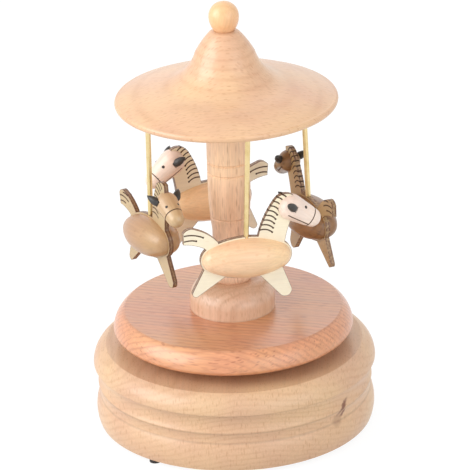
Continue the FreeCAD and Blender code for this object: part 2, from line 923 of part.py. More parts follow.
def make_music_cylinder():
    """Brass drum with melody pins, three to each tooth of the comb."""
    radius = s.cylinder_radius.value
    length = drum_length.value
    along = FreeCAD.Vector(1, 0, 0)
    drum = Part.makeCylinder(radius, length, FreeCAD.Vector(), along)
    bore = Part.makeCylinder(s.cylinder_shaft.value, length, FreeCAD.Vector(), along)
    tracks = int(s.comb_teeth.value)
    per_track = int(s.pins_per_tooth.value)
    pins = []
    for track in range(tracks):
        x = length * (track + 0.5) / tracks
        for number in range(per_track):
            turn = math.radians(PIN_STEP * track + FULL_TURN / per_track * number)
            out = FreeCAD.Vector(0, math.cos(turn), math.sin(turn))
            foot = FreeCAD.Vector(x, 0, 0) + out * (radius - s.pin_height.value)
            pins.append(Part.makeCylinder(s.pin_radius.value, 2 * s.pin_height.value, foot, out))
    piece = doc.addObject("Part::Feature", "music_cylinder")
    piece.Shape = drum.cut(bore).fuse(pins)
    put(piece, drum_start, 0, axis_height)
    return piece


def make_comb_block():
    """Block between the bedplate and the comb."""
    block = box("comb_block_blank", drum_length, s.comb_heel, s.bedplate_drop - s.comb_thickness / 2)
    return put(block, drum_start, comb_root, axis_height + s.comb_thickness / 2)


def make_comb():
    """Steel comb, slotted into teeth that reach to the cylinder's pins."""
    body = new_body("comb_blank")
    floor = axis_height - s.comb_thickness / 2
    pitch = drum_length / s.comb_teeth
    add_pad(body, "Blade", "XY_Plane", [
        (drum_start, comb_tip),
        (drum_end, comb_tip),
        (drum_end, comb_back),
        (drum_start, comb_back),
    ], s.comb_thickness, rise=floor)
    doc.recompute()
    first = drum_start + pitch - s.comb_slot / 2
    sketch = sketch_on(body, "SlotOutline", "XY_Plane", [
        (first, comb_tip - s.comb_gap),
        (first + s.comb_slot, comb_tip - s.comb_gap),
        (first + s.comb_slot, comb_root - s.comb_gap),
        (first, comb_root - s.comb_gap),
    ], rise=floor)
    slot = body.newObject("PartDesign::Pocket", "Slot")
    slot.Profile = sketch
    slot.Reversed = True
    slot.setExpression("Length", s.comb_thickness.formula)
    body.Tip = slot
    slots = body.newObject("PartDesign::LinearPattern", "Slots")
    slots.Originals = [slot]
    slots.Direction = (sketch, ["H_Axis"])
    slots.setExpression("Length", (pitch * (s.comb_teeth - 2)).formula)
    slots.setExpression("Occurrences", (s.comb_teeth - 1).formula)
    body.Tip = slots
    return body


def make_comb_screws():
    """Two screws that clamp the comb to its block."""
    middle = comb_root + s.comb_heel / 2
    floor = axis_height - s.comb_thickness / 2
    quarter = drum_length / 4
    screws = []
    for number, x in enumerate((drum_start + quarter, drum_end - quarter), start=1):
        screws.append(put(screw(f"comb_screw_{number}", s.bedplate_screw_length), x, middle, floor))
    return group("comb_screws", screws)


def on_axle(wheel, x, y, angle):
    """Put a wheel on an axle along X at the height of the cylinder's axis."""
    return put(wheel, x, y, axis_height, axle_turn(angle))


def half_tooth(teeth):
    """Half the turn from one tooth to the next."""
    return FULL_TURN / teeth.value / 2


def make_governor_arbor():
    """Thin arbor between the governor's tabs."""
    arbor = cylinder("governor_arbor", s.arm_shaft, governor_end - governor_inner_tab)
    return put(arbor, governor_inner_tab, governor_y, axis_height, ALONG_X)


def make_worm():
    """Endless screw on an upright shaft, pivoted in the cock and the bedplate."""
    lead = s.gear_module * math.pi
    core = s.worm_radius - s.gear_module * TOOTH_DEDENDUM
    tip = s.worm_radius + s.gear_module * TOOTH_ADDENDUM
    half_tip = s.gear_module * TOOTH_TIP / 2
    half_root = s.gear_module * TOOTH_ROOT / 2
    sunk = core - s.gear_module * TOOTH_SINK
    half_length = lead * s.worm_turns / 2
    shaft_floor = cover_top + s.cock_headroom
    body = turned("worm", [
        (0, shaft_floor - axis_height),
        (s.arm_shaft, shaft_floor - axis_height),
        (s.arm_shaft, -half_length - lead / 2),
        (core, -half_length - lead / 2),
        (core, half_length + lead / 2),
        (s.arm_shaft, half_length + lead / 2),
        (s.arm_shaft, s.bedplate_drop + s.bedplate_thickness),
        (0, s.bedplate_drop + s.bedplate_thickness),
    ])
    thread_floor = -half_length
    sketch = sketch_on(body, "ThreadOutline", "XZ_Plane", [
        (sunk, thread_floor - half_root),
        (tip, thread_floor - half_tip),
        (tip, thread_floor + half_tip),
        (sunk, thread_floor + half_root),
    ])
    thread = body.newObject("PartDesign::AdditiveHelix", "Thread")
    thread.Profile = sketch
    thread.ReferenceAxis = (sketch, ["V_Axis"])
    thread.Mode = 0
    thread.setExpression("Pitch", lead.formula)
    thread.setExpression("Height", (lead * s.worm_turns).formula)
    body.Tip = thread
    # At this turn the thread passes the wheel's axle height on the side that faces the wheel.
    start_turn = QUARTER_TURN + FULL_TURN * s.worm_turns.value / 2
    put(body, wheel_middle, worm_y, axis_height, FreeCAD.Rotation(FreeCAD.Vector(0, 0, 1), start_turn))
    return body


def make_fan():
    """Two-bladed air brake low on the worm's shaft."""
    body = new_body("fan_blank")
    half = s.fan_thickness / 2
    add_pad(body, "Blades", "XY_Plane", [
        (-s.fan_radius, -half),
        (s.fan_radius, -half),
        (s.fan_radius, half),
        (-s.fan_radius, half),
    ], s.fan_height)
    hub = cylinder("fan_hub_bar", s.fan_hub, s.fan_height)
    joined = doc.addObject("Part::Fuse", "fan_joined")
    joined.Base = body
    joined.Tool = hub
    hole = cylinder("fan_hole", s.arm_shaft, s.fan_height)
    fan = cut("governor_fan", joined, hole)
    return put(fan, wheel_middle, worm_y, cover_top + s.cock_headroom + s.fan_rise)


def make_worm_cock():
    """Bent strip that holds the worm's lower pivot."""
    arm_floor = cover_top + s.cock_headroom
    arm_top = arm_floor + s.cock_thickness
    reach = worm_y + s.cock_width / 2
    body = new_body("cock_strip")
    add_pad(body, "Strip", "YZ_Plane", [
        (cock_y, arm_floor),
        (reach, arm_floor),
        (reach, arm_top),
        (cock_y + s.cock_thickness, arm_top),
        (cock_y + s.cock_thickness, bedplate_floor),
        (cock_y, bedplate_floor),
    ], s.cock_width, rise=wheel_middle - s.cock_width / 2)
    hole = put(cylinder("cock_hole", s.arm_shaft + s.pivot_fit, s.cock_thickness),
               wheel_middle, worm_y, arm_floor)
    return cut("worm_cock", body, hole)


# Platform, post and canopy


def make_hub_screws():
    """Screws from the hub up into the platform."""
    return ring_of("hub_screws", s.hub_screw_count, s.hub_screw_circle, as_length(90), hub_floor,
                   lambda name: screw(name, s.hub_screw_length))


def make_hub(screws):
    """Steel flange on the spindle, under the platform."""
    disc = turned("hub_disc", [
        (s.spindle_radius, hub_floor),
        (s.hub_radius, hub_floor),
        (s.hub_radius, platform_floor),
        (s.spindle_radius, platform_floor),
    ])
    return cut("hub_flange", disc, screws)


def make_platform(screws):
    """Turning platform with a crisp top edge and a side that swells out to its foot."""
    edge = platform_floor + s.platform_edge_rise
    hole_top = platform_floor + s.spindle_grip
    disc = turned("platform_disc", [
        (s.spindle_radius, platform_floor),
        (s.platform_radius - s.platform_under_inset, platform_floor),
        (s.platform_radius, edge, s.platform_under_radius),
        (s.platform_flat, platform_top, s.platform_edge_radius),
        (s.tenon_radius, platform_top),
        (s.tenon_radius, platform_top - s.tenon_depth),
        (0, platform_top - s.tenon_depth),
        (0, hole_top),
        (s.spindle_radius, hole_top),
    ])
    return cut("platform", disc, screws)


def make_post_foot():
    """Bun under the post, bored for the post's tenon."""
    side_top = platform_top + s.post_foot_side
    return turned("post_foot", [
        (s.tenon_radius, platform_top),
        (s.post_foot_radius, platform_top),
        (s.post_foot_radius, side_top),
        (s.post_foot_crown, post_floor, s.post_foot_round),
        (s.tenon_radius, post_floor),
    ])


def make_post():
    """Turned post with three cut rings, and a tenon at each end."""
    half_groove = s.post_groove_depth
    low = post_floor + s.post_groove_low
    mid = post_floor + s.post_groove_mid
    high = post_floor + s.post_groove_high
    barrel_foot = s.post_radius - s.post_groove_depth
    return turned("post", [
        (0, platform_top - s.tenon_depth),
        (s.tenon_radius, platform_top - s.tenon_depth),
        (s.tenon_radius, post_floor),
        (s.post_waist, post_floor),
        (s.post_waist, post_floor + s.post_bead_height, s.post_bead_round),
        (s.post_waist, post_floor + s.post_neck_height),
        (barrel_foot, low - half_groove),
        (barrel_foot - s.post_groove_depth, low),
        (barrel_foot, low + half_groove),
        (s.post_radius, mid - half_groove, s.post_barrel_round),
        (s.post_radius - s.post_groove_depth, mid),
        (s.post_radius, mid + half_groove),
        (s.post_radius, high - half_groove),
        (s.post_radius - s.post_groove_depth, high),
        (s.post_radius, high + half_groove),
        (s.post_radius, canopy_floor),
        (s.tenon_radius, canopy_floor),
        (s.tenon_radius, canopy_floor + s.canopy_tenon),
        (0, canopy_floor + s.canopy_tenon),
    ])


def make_canopy(rods):
    """Bell-shaped roof with a rounded rim, bored for the post, the finial and the rods."""
    blank = turned("canopy_blank", [
        (s.tenon_radius, canopy_floor),
        (s.canopy_radius, canopy_floor),
        (s.canopy_radius - s.canopy_rim_inset, canopy_floor + s.canopy_rim, s.canopy_rim_round),
        (s.canopy_flare_radius, canopy_floor + s.canopy_flare_height, s.canopy_brim_round),
        (s.canopy_bell_radius, canopy_floor + s.canopy_bell_height, -s.canopy_flare_round),
        (s.canopy_shoulder_radius, canopy_top - s.canopy_shoulder_drop, s.canopy_bell_round),
        (s.canopy_crown_radius, canopy_top, s.canopy_shoulder_round),
        (s.ball_peg_radius, canopy_top),
        (s.ball_peg_radius, canopy_top - s.ball_peg_length),
        (0, canopy_top - s.ball_peg_length),
        (0, canopy_floor + s.canopy_tenon),
        (s.tenon_radius, canopy_floor + s.canopy_tenon),
    ])
    return cut("canopy", blank, *rods)


def make_finial():
    """Finial ball, flat below, with the peg that holds it."""
    narrowing = s.ball_radius - s.ball_flat
    lower_round = (narrowing * narrowing + s.ball_rise * s.ball_rise) / (2 * narrowing)
    return turned("finial_ball", [
        (0, canopy_top - s.ball_peg_length),
        (s.ball_peg_radius, canopy_top - s.ball_peg_length),
        (s.ball_peg_radius, canopy_top),
        (s.ball_flat, canopy_top),
        (s.ball_radius, ball_centre, lower_round),
        (0, ball_centre + s.ball_radius, s.ball_radius),
    ])


# Horses, each in its own frame: X forward, Z up along the rod, origin at the middle of the body


def rod_place(side):
    """Where a horse hangs: below its rod's seat in the canopy, facing the way the platform turns."""
    angle = getattr(s, side + "_rod_angle").value
    turn = getattr(s, side + "_turn_angle").value
    lean = getattr(s, side + "_lean_angle").value
    x, y = on_circle(s.rod_circle, angle)
    seat = FreeCAD.Vector(x.value, y.value, canopy_floor.value)
    heading = FreeCAD.Rotation(FreeCAD.Vector(0, 0, 1), angle + QUARTER_TURN + turn)
    rotation = heading * FreeCAD.Rotation(FreeCAD.Vector(0, 1, 0), lean)
    drop = rotation.multVec(FreeCAD.Vector(0, 0, getattr(s, side + "_horse_drop").value))
    return FreeCAD.Placement(seat - drop, rotation)


def horse_place(side):
    """The horse's own place, nodded about its middle on the rod."""
    nod = FreeCAD.Rotation(FreeCAD.Vector(0, 1, 0), getattr(s, side + "_nod_angle").value)
    return rod_place(side) * FreeCAD.Placement(FreeCAD.Vector(), nod)


def make_rod(side):
    """Brass rod from inside the horse up into the canopy."""
    floor = s.flank_half_height - s.rod_in_horse
    rod = cylinder(f"{side}_rod", s.rod_radius, getattr(s, side + "_horse_drop") + s.rod_seat - floor)
    rod.Placement = rod_place(side) * FreeCAD.Placement(FreeCAD.Vector(0, 0, floor.value), FreeCAD.Rotation())
    return rod


def oval_points(half_length, half_height, end_round):
    """A four-arc oval about the origin, anticlockwise from its right-hand end."""
    x, z, flat = oval_join(half_length, half_height, end_round)
    return [
        (x, -z, flat),
        (x, z, end_round),
        (-x, z, flat),
        (-x, -z, end_round),
    ]


def neck_points():
    """Neck and mane, from the chest up the throat, over the crest and down the back."""
    return [
        (s.skull_x - s.chest_setback, 0),
        (s.skull_x - s.throat_setback, s.flank_half_height - s.throat_drop),
        (s.skull_x - s.jaw_setback, s.skull_z - s.jaw_drop, -s.throat_round),
        (s.skull_x + s.forelock_reach, s.skull_z - s.jaw_drop / 2),
        (s.skull_x + s.forelock_reach, s.skull_z + s.forelock_rise),
        (s.skull_x - s.crest_setback, s.skull_z + s.crest_rise, s.crest_round),
        (s.neck_back_x, s.flank_half_height, s.neck_back_round),
        (s.neck_back_x, 0),
    ]


def tail_points():
    """Short raised tail behind the body."""
    return [
        (-s.tail_root_x, 0),
        (-s.tail_root_x, s.tail_root_z),
        (-s.tail_top_x, s.tail_top_z, s.tail_back_round),
        (-s.tail_tip_x, s.tail_tip_z, s.tail_tip_round),
        (-s.tail_foot_x, s.tail_foot_z),
        (-s.tail_hollow_x, s.tail_hollow_z, -s.tail_hollow_round),
    ]


def rear_leg_points():
    """Hind leg, which tapers back and down to a small rounded hoof."""
    back_x, back_z = on_circle(s.rear_hoof_radius, HALF_TURN + s.rear_hoof_back_angle)
    front_x, front_z = on_circle(s.rear_hoof_radius, -s.rear_hoof_front_angle)
    return [
        (-s.rear_leg_back_x, -s.rear_leg_back_z),
        (back_x - s.rear_hoof_x, back_z - s.rear_hoof_z),
        (front_x - s.rear_hoof_x, front_z - s.rear_hoof_z, s.rear_hoof_radius),
        (-s.rear_leg_front_x, -s.rear_leg_front_z),
    ]


def front_leg_points():
    """Foreleg, broad and bent forward to a round hoof."""
    back_x, back_z = on_circle(s.front_hoof_radius, HALF_TURN + s.front_hoof_back_angle)
    front_x, front_z = on_circle(s.front_hoof_radius, -s.front_hoof_front_angle)
    return [
        (s.front_leg_back_x, -s.front_leg_back_z),
        (back_x + s.front_hoof_x, back_z - s.front_hoof_z),
        (front_x + s.front_hoof_x, front_z - s.front_hoof_z, s.front_hoof_radius),
        (s.front_leg_front_x, -s.front_leg_front_z),
    ]


def make_plate(side, place):
    """Plywood plate of one horse: body oval, neck, tail and legs."""
    body = new_body(f"{side}_plate_blank")
    half_length = s.flank_half_length + s.plate_rim
    half_height = s.flank_half_height + s.plate_rim
    outlines = {
        "Body": oval_points(half_length, half_height, s.flank_end_round + s.plate_rim),
        "Neck": neck_points(),
        "Tail": tail_points(),
        "RearLeg": rear_leg_points(),
        "FrontLeg": front_leg_points(),
    }
    for name, points in outlines.items():
        add_pad(body, name, "XZ_Plane", points, s.plate_thickness, both_ways=True)
    body.Placement = place
    return body


def make_flanks(side, place, rod):
    """The two halves of a turned egg, one on each side of the plate, each with a shallow groove for the rod."""
    x, z, flat = oval_join(s.flank_half_length, s.flank_half_height, s.flank_end_round)
    halves = []
    for name, sense in (("near", -1), ("far", 1)):
        body = new_body(f"{side}_{name}_flank_blank")
        add_turning(body, "Turning", [
            (-s.flank_half_length, 0, s.flank_end_round),
            (s.flank_half_length, 0),
            (x, z, s.flank_end_round),
            (-x, z, flat),
        ], "H_Axis", HALF_TURN, backward=sense > 0)
        offset = FreeCAD.Vector(0, sense * s.plate_thickness.value / 2, 0)
        body.Placement = place * FreeCAD.Placement(offset, FreeCAD.Rotation())
        halves.append(cut(f"{side}_{name}_flank", body, rod))
    return group(f"{side}_horse_flanks", halves)


def head_place(side):
    """The head's own place: the middle of the skull, nose down along the head's axis."""
    height = s.skull_z - getattr(s, side + "_head_drop")
    nod = FreeCAD.Rotation(FreeCAD.Vector(0, 1, 0), getattr(s, side + "_head_angle").value)
    return horse_place(side) * FreeCAD.Placement(FreeCAD.Vector(s.skull_x.value, 0, height.value), nod)


def make_ears(side):
    """Two pointed ears that stick out from the skull and sweep back."""
    root_y = getattr(s, HORSES[side] + "_ear_root_y").value
    ears = []
    for name, sense in (("near", -1), ("far", 1)):
        ear = doc.addObject("Part::Cone", f"{side}_{name}_ear")
        ear.setExpression("Radius1", s.ear_radius.formula)
        ear.setExpression("Radius2", s.ear_tip_radius.formula)
        ear.setExpression("Height", s.ear_length.formula)
        outward = FreeCAD.Rotation(FreeCAD.Vector(1, 0, 0), -sense * (QUARTER_TURN - s.ear_lift_angle.value))
        backward = FreeCAD.Rotation(FreeCAD.Vector(0, 0, 1), sense * s.ear_sweep_angle.value)
        root = FreeCAD.Vector(s.ear_root_x.value, sense * root_y, s.ear_root_z.value)
        ear.Placement = head_place(side) * FreeCAD.Placement(root, backward * outward)
        ears.append(ear)
    return group(f"{side}_horse_ears", ears)


def make_head(side, plate, ears):
    """A turned pear on its long axis, slotted over the plate and bored for the ears."""
    tone = HORSES[side]
    skull = getattr(s, tone + "_skull_radius")
    muzzle = getattr(s, tone + "_muzzle_radius")
    reach = getattr(s, tone + "_muzzle_reach")
    slope = (skull.value - muzzle.value) / reach.value
    rise = math.sqrt(1 - slope * slope)
    body = new_body(f"{side}_head_blank")
    add_turning(body, "Turning", [
        (-skull, 0, skull),
        (reach + muzzle, 0),
        (reach + muzzle * slope, muzzle * rise, muzzle),
        (skull * slope, skull * rise),
    ], "H_Axis")
    body.Placement = head_place(side)
    return cut(f"{side}_horse_head", body, plate, ears)


def make_horse(side):
    """One horse on its rod."""
    place = horse_place(side)
    rod = make_rod(side)
    plate = cut(f"{side}_horse_plate", make_plate(side, place), rod)
    ears = make_ears(side)
    head = make_head(side, plate, ears)
    return [rod, plate, make_flanks(side, place, rod), head, ears]


def make_all():
    """Every node of the music box."""
    horses = [piece for side in HORSES for piece in make_horse(side)]
    rods = [piece for piece in horses if piece.Label.endswith("_rod")]
    hub_screws = make_hub_screws()
    cover_screws = make_cover_screws()
    bedplate_screws = make_bedplate_screws()
    comb_screws = make_comb_screws()
    bush = make_bush()
    arbor = make_spring_arbor()
    nodes = horses + [
        cut("base_shell", make_base(), cover_screws, bedplate_screws),
        make_rubber_feet(),
        make_cover(cover_screws),
        cover_screws,
        bush,
        make_washer(),
        make_bedplate(bedplate_screws),
        bedplate_screws,
        cut("barrel_bridge", make_bridge(), arbor),
        arbor,
        make_spindle(),
        make_barrel(),
        make_barrel_lid(),
        make_mainspring(),
        make_crown_wheel(),
        make_cylinder_bearings(),
        make_cylinder_shaft(),
        make_music_cylinder(),
        on_axle(spur_wheel("cylinder_pinion", s.pinion_teeth, s.pinion_face, s.cylinder_shaft),
                pinion_start, 0, half_tooth(s.pinion_teeth) - QUARTER_TURN),
        on_axle(spur_wheel("cylinder_gear", s.cylinder_gear_teeth, s.gear_face, s.cylinder_shaft),
                gear_start, 0, HALF_TURN),
        cut("comb_block", make_comb_block(), comb_screws),
        cut("comb", make_comb(), comb_screws),
        comb_screws,
        make_governor_bearings(),
        make_governor_arbor(),
        on_axle(spur_wheel("governor_pinion", s.governor_pinion_teeth, s.gear_face, s.arm_shaft),
                gear_start, governor_y, half_tooth(s.governor_pinion_teeth)),
        on_axle(spur_wheel("governor_wheel", s.governor_wheel_teeth, s.gear_face, s.arm_shaft),
                wheel_start, governor_y, HALF_TURN + half_tooth(s.governor_wheel_teeth)),
        make_worm(),
        make_fan(),
        make_worm_cock(),
        make_hub(hub_screws),
        hub_screws,
        make_platform(hub_screws),
        make_post_foot(),
        make_post(),
        make_canopy(rods),
        make_finial(),
    ]
    return nodes


def check(nodes):
    """Stop if any object failed or any node has no sound solid."""
    for piece in doc.Objects:
        if "Invalid" in piece.State or "Error" in piece.State:
            raise RuntimeError(f"{piece.Label} failed: {piece.State}")
    for node in nodes:
        if node.Shape.isNull() or not node.Shape.isValid() or not node.Shape.Solids:
            raise RuntimeError(f"{node.Label} has no sound solid")


def write(nodes):
    """One file for each node, named after it."""
    os.makedirs("parts", exist_ok=True)
    for node in nodes:
        node.Shape.exportStep(os.path.join("parts", node.Label + ".step"))


pieces = make_all()
doc.recompute()
check(pieces)
write(pieces)
print(len(pieces), "nodes")
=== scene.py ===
"""Dresses the carousel music box: beech and plywood, burnt mane strokes, brass, stage and camera."""

import math

import bmesh
import bpy
from bpy.props import FloatProperty, FloatVectorProperty, IntProperty, PointerProperty
from mathutils import Matrix, Quaternion, Vector


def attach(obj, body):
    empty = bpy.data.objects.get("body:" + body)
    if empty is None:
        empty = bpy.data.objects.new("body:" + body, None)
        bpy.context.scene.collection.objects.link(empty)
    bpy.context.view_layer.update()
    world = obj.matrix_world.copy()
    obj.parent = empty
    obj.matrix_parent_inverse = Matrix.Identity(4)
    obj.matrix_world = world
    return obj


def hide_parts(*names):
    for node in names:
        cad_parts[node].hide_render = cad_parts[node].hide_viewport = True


bl_info = {
    "name": "Carousel music box",
    "version": (1, 0, 0),
    "blender": (4, 5, 0),
    "location": "View3D > Sidebar > Music box",
    "description": "Finishes, horses and stage of a wooden carousel music box",
    "category": "Object",
}

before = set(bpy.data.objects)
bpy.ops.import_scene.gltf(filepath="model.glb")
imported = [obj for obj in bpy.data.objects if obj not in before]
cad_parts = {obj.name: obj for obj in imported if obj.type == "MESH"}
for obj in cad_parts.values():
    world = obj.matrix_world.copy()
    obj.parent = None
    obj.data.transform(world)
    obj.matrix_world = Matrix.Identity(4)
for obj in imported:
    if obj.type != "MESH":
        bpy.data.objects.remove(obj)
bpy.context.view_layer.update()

MM = 0.001
WHITE = (1.0, 1.0, 1.0, 1.0)

# The camera: places in metres, roll in degrees, lens and sensor in millimetres
CAMERA_EYE = (0.0, -1.3, 0.63347)
CAMERA_AIM = (0.00169, 0.0, 0.07658)
CAMERA_ROLL = -1.785
CAMERA_LENS = 280.83
CAMERA_SENSOR = 36.0
CAMERA_NEAR = 0.01
# The soft lamps, in metres: where each stands and how wide it is
LAMPS = {
    "key": ((-1.45, -0.55, 0.85), 1.4),
    "fill": ((1.1, -1.2, 0.62), 1.4),
    "sheen": ((0.2, 1.5, 0.75), 1.2),
}
FLOOR_REACH = 3.0
# The floor's paper: its own grey, the strength of its white glow, and the glow's share of what is seen
PAPER_GREY = 0.6
PAPER_GLOW = 1.2
GLOW_SHARE = 0.75

SIDES = ("front", "right", "back", "left")
# The wood of each horse, what its materials are called, and whose slots of the part they belong to
WOODS = {"front": "light", "right": "brown", "back": "light", "left": "tan"}
STAIN = {"light": "pale", "brown": "brown-stained", "tan": "tan-stained"}
# The tan and brown horses share a slot of the part; the brown one's darker flanks and head are partly
# painted shade
SLOTS = {"light": "light", "brown": "brown", "tan": "brown"}
# How strongly the flanks are figured, and how evenly the cutter scorched the plates' edges
FIGURE = {"light": 0.16, "brown": 0.3, "tan": 0.12}
EVEN = {"light": 0.85, "brown": 0.3, "tan": 0.8}

# Places that the solids were given, in millimetres and degrees
ROD_CIRCLE = 30.7
CANOPY_FLOOR = 131.6
PLATE_THICKNESS = 1.8
NECK_BACK, CREST, FORELOCK = (4.4, 7.7), (10.6, 22.1), (18.0, 23.6)
NECK_ROUND, CREST_ROUND = 39.0, 5.4
SKULL_X, SKULL_Z = 17.2, 18.6
EAR_ROOT_X, EAR_ROOT_Z = 0.23, 0.82
EAR_LIFT, EAR_SWEEP = 8.2, 56.6
ROD_ANGLE = {"front": 284.4, "right": 17.1, "back": 100.5, "left": 192.1}
TURN = {"front": 0.0, "right": 5.0, "back": 15.5, "left": 14.0}
LEAN = {"front": 2.5, "right": 3.8, "back": -2.5, "left": 1.0}
NOD = {"front": 0.0, "right": 0.0, "back": -1.2, "left": -8.0}
DROP = {"front": 51.0, "right": 50.8, "back": 52.2, "left": 51.3}
HEAD_ANGLE = {"front": 31.0, "right": 29.4, "back": 40.0, "left": 33.0}
HEAD_DROP = {"front": 0.0, "right": 0.8, "back": 0.4, "left": 2.2}

# From the middle of the skull, in millimetres: the noseband ahead, the cheek strap below and its end
# behind, the eye ahead, aside and above, and the ear's root aside
NOSEBAND = {"light": 8.8, "brown": 6.5}
STRAP_LOW = {"light": 2.4, "brown": 2.0}
STRAP_BACK = 0.8
EYE = {"light": (4.0, 3.2, 3.2), "brown": (4.0, 2.4, 2.9)}
EAR_ROOT_Y = {"light": 3.9, "brown": 3.5}
# Half outlines from edge to middle: an eye's dome in shares of its radius, and an ear's leaf in shares of
# its radius and its length
EYE_DOME = ((1.0, -0.1), (0.8, 0.2), (0.4, 0.36), (0.0, 0.4))
EAR_LEAF = ((0.6, 0.0), (0.92, 0.15), (1.0, 0.32), (0.84, 0.58), (0.48, 0.82), (0.0, 1.0))
EYE_STEPS, EAR_STEPS = 16, 20

# The mane, from its lowest stroke to its highest: way up the neck, heading and length of a stroke, in
# millimetres and degrees. All bend alike
MANE_RUN = (3.0, 19.5)
MANE_HEADING = (14, -16)
MANE_LENGTH = (5.2, 3.3)
MANE_BEND = 58
# Strokes of a tail: start, heading, length and bend, in millimetres and degrees
LONG_STROKES = ((-24.5, 10.8, 9, 7.7, 36), (-24.4, 8.5, 14, 4.8, 30))
SHORT_STROKE = (-21.5, 12.3, 8, 4.0, 30)
TAIL_STROKES = {
    "light": LONG_STROKES,
    "brown": (*LONG_STROKES, SHORT_STROKE),
    "tan": (*LONG_STROKES, SHORT_STROKE),
}
STROKE_STEPS = 10
# The dot where the burning tool lifts: radius as a share of the stroke's width, and sides
DOT_SHARE, DOT_SIDES = 0.75, 12

# Heights of painted shade, a fine dark line, in millimetres: at creases the turner cut and where pieces
# meet
SHADED_CREASES = {
    "base_shell": (13.1, 17.3, 25.1),
    "platform": (46.9,),
    "post_foot": (47.1,),
    "canopy": (160.7,),
    "finial_ball": (160.8,),
}
# The base's pin knot, in millimetres: where it comes out, the way its scars run, the way across them,
# how deep it goes and how much its edges waver
KNOT_PLACE = (40.5, -33.8, 17.9)
KNOT_ALONG = (0.5, 0.6, 0.62)
KNOT_ACROSS = (0.4, 0.48, -0.78)
KNOT_DEPTH = 10.0
KNOT_WAVER = 1.2
# Its scars: middle and half size, across and along, and strength
SCARS = (
    ((0.0, 0.4), (1.1, 4.4), 0.85),
    ((1.9, -1.2), (0.9, 2.2), 0.8),
    ((1.2, -5.0), (2.6, 3.4), 0.3),
)
# From a plate's middle back to the middle of the tree that it was peeled from, in millimetres
PLATE_DEPTH = 60.0
# Patches of drifting colour in wood, and of tarnish on metal, in millimetres
COLOUR_PATCH = 25.0
TARNISH_PATCH = 4.0
# As sockets of a Map Range node: the span that most of a noise texture's values lie in, and how far the
# lightness and the hue of wood drift
NOISE_SPAN = {1: 0.3, 2: 0.7}
DRIFT = {3: 0.95, 4: 1.05}
BLUSH = {3: 0.492, 4: 0.506}
# How light end grain stays and how light the painted shade leaves a crease, and how rough wax and lacquer
# are
END_GRAIN = 0.97
CREASE_SHADE = 0.84
COAT_ROUGHNESS = 0.24
# From the middle of a crease, in millimetres: how far its line of painted shade is full, and where it has
# faded
CREASE_FULL, CREASE_FADED = 0.1, 0.6

# Corners closer than this are one, in millimetres: in the mesh of a solid, and in a spun form
SOLID_WELD, SPUN_WELD = 0.002, 0.001
# A plate's flat sides: they bend by less than this, in degrees, face across the plate at least this
# squarely, and are larger than this, in square millimetres
FLAT_BEND, FLAT_SQUARE, FLAT_AREA = 0.5, 0.99, 10.0
# The walls of a head's slot face its axis or lie within this of it, in millimetres
SLOT_REACH = 1.0

BRASS_NODES = (
    "spindle_bush", "spring_barrel", "barrel_lid", "crown_wheel", "music_cylinder", "cylinder_gear",
    "governor_wheel", "comb_block", "governor_fan",
)
STEEL_NODES = (
    "cover_screws", "bedplate", "bedplate_screws", "barrel_bridge", "spring_arbor", "comb", "comb_screws",
    "cylinder_bearings", "governor_bearings", "worm_cock", "drive_spindle", "mainspring", "hub_flange",
    "hub_screws", "cylinder_shaft", "cylinder_pinion", "governor_arbor", "governor_pinion", "worm",
)


def paint(code):
    """Linear colour of an sRGB hex code."""
    shares = [int(code[i:i + 2], 16) / 255 for i in (1, 3, 5)]
    return tuple(c / 12.92 if c <= 0.04045 else ((c + 0.055) / 1.055) ** 2.4 for c in shares)


def tint(name, code, about):
    """A colour that the user may change."""
    return FloatVectorProperty(name=name, description=about, subtype="COLOR", size=3, min=0.0, max=1.0,
                               default=paint(code))


def length(name, millimetres, about):
    """A length that the user may change."""
    return FloatProperty(name=name, description=about, subtype="DISTANCE", unit="LENGTH",
                         default=millimetres * MM)


def power(name, watts, about):
    """A lamp's power that the user may change."""
    return FloatProperty(name=name, description=about, unit="POWER", default=watts)


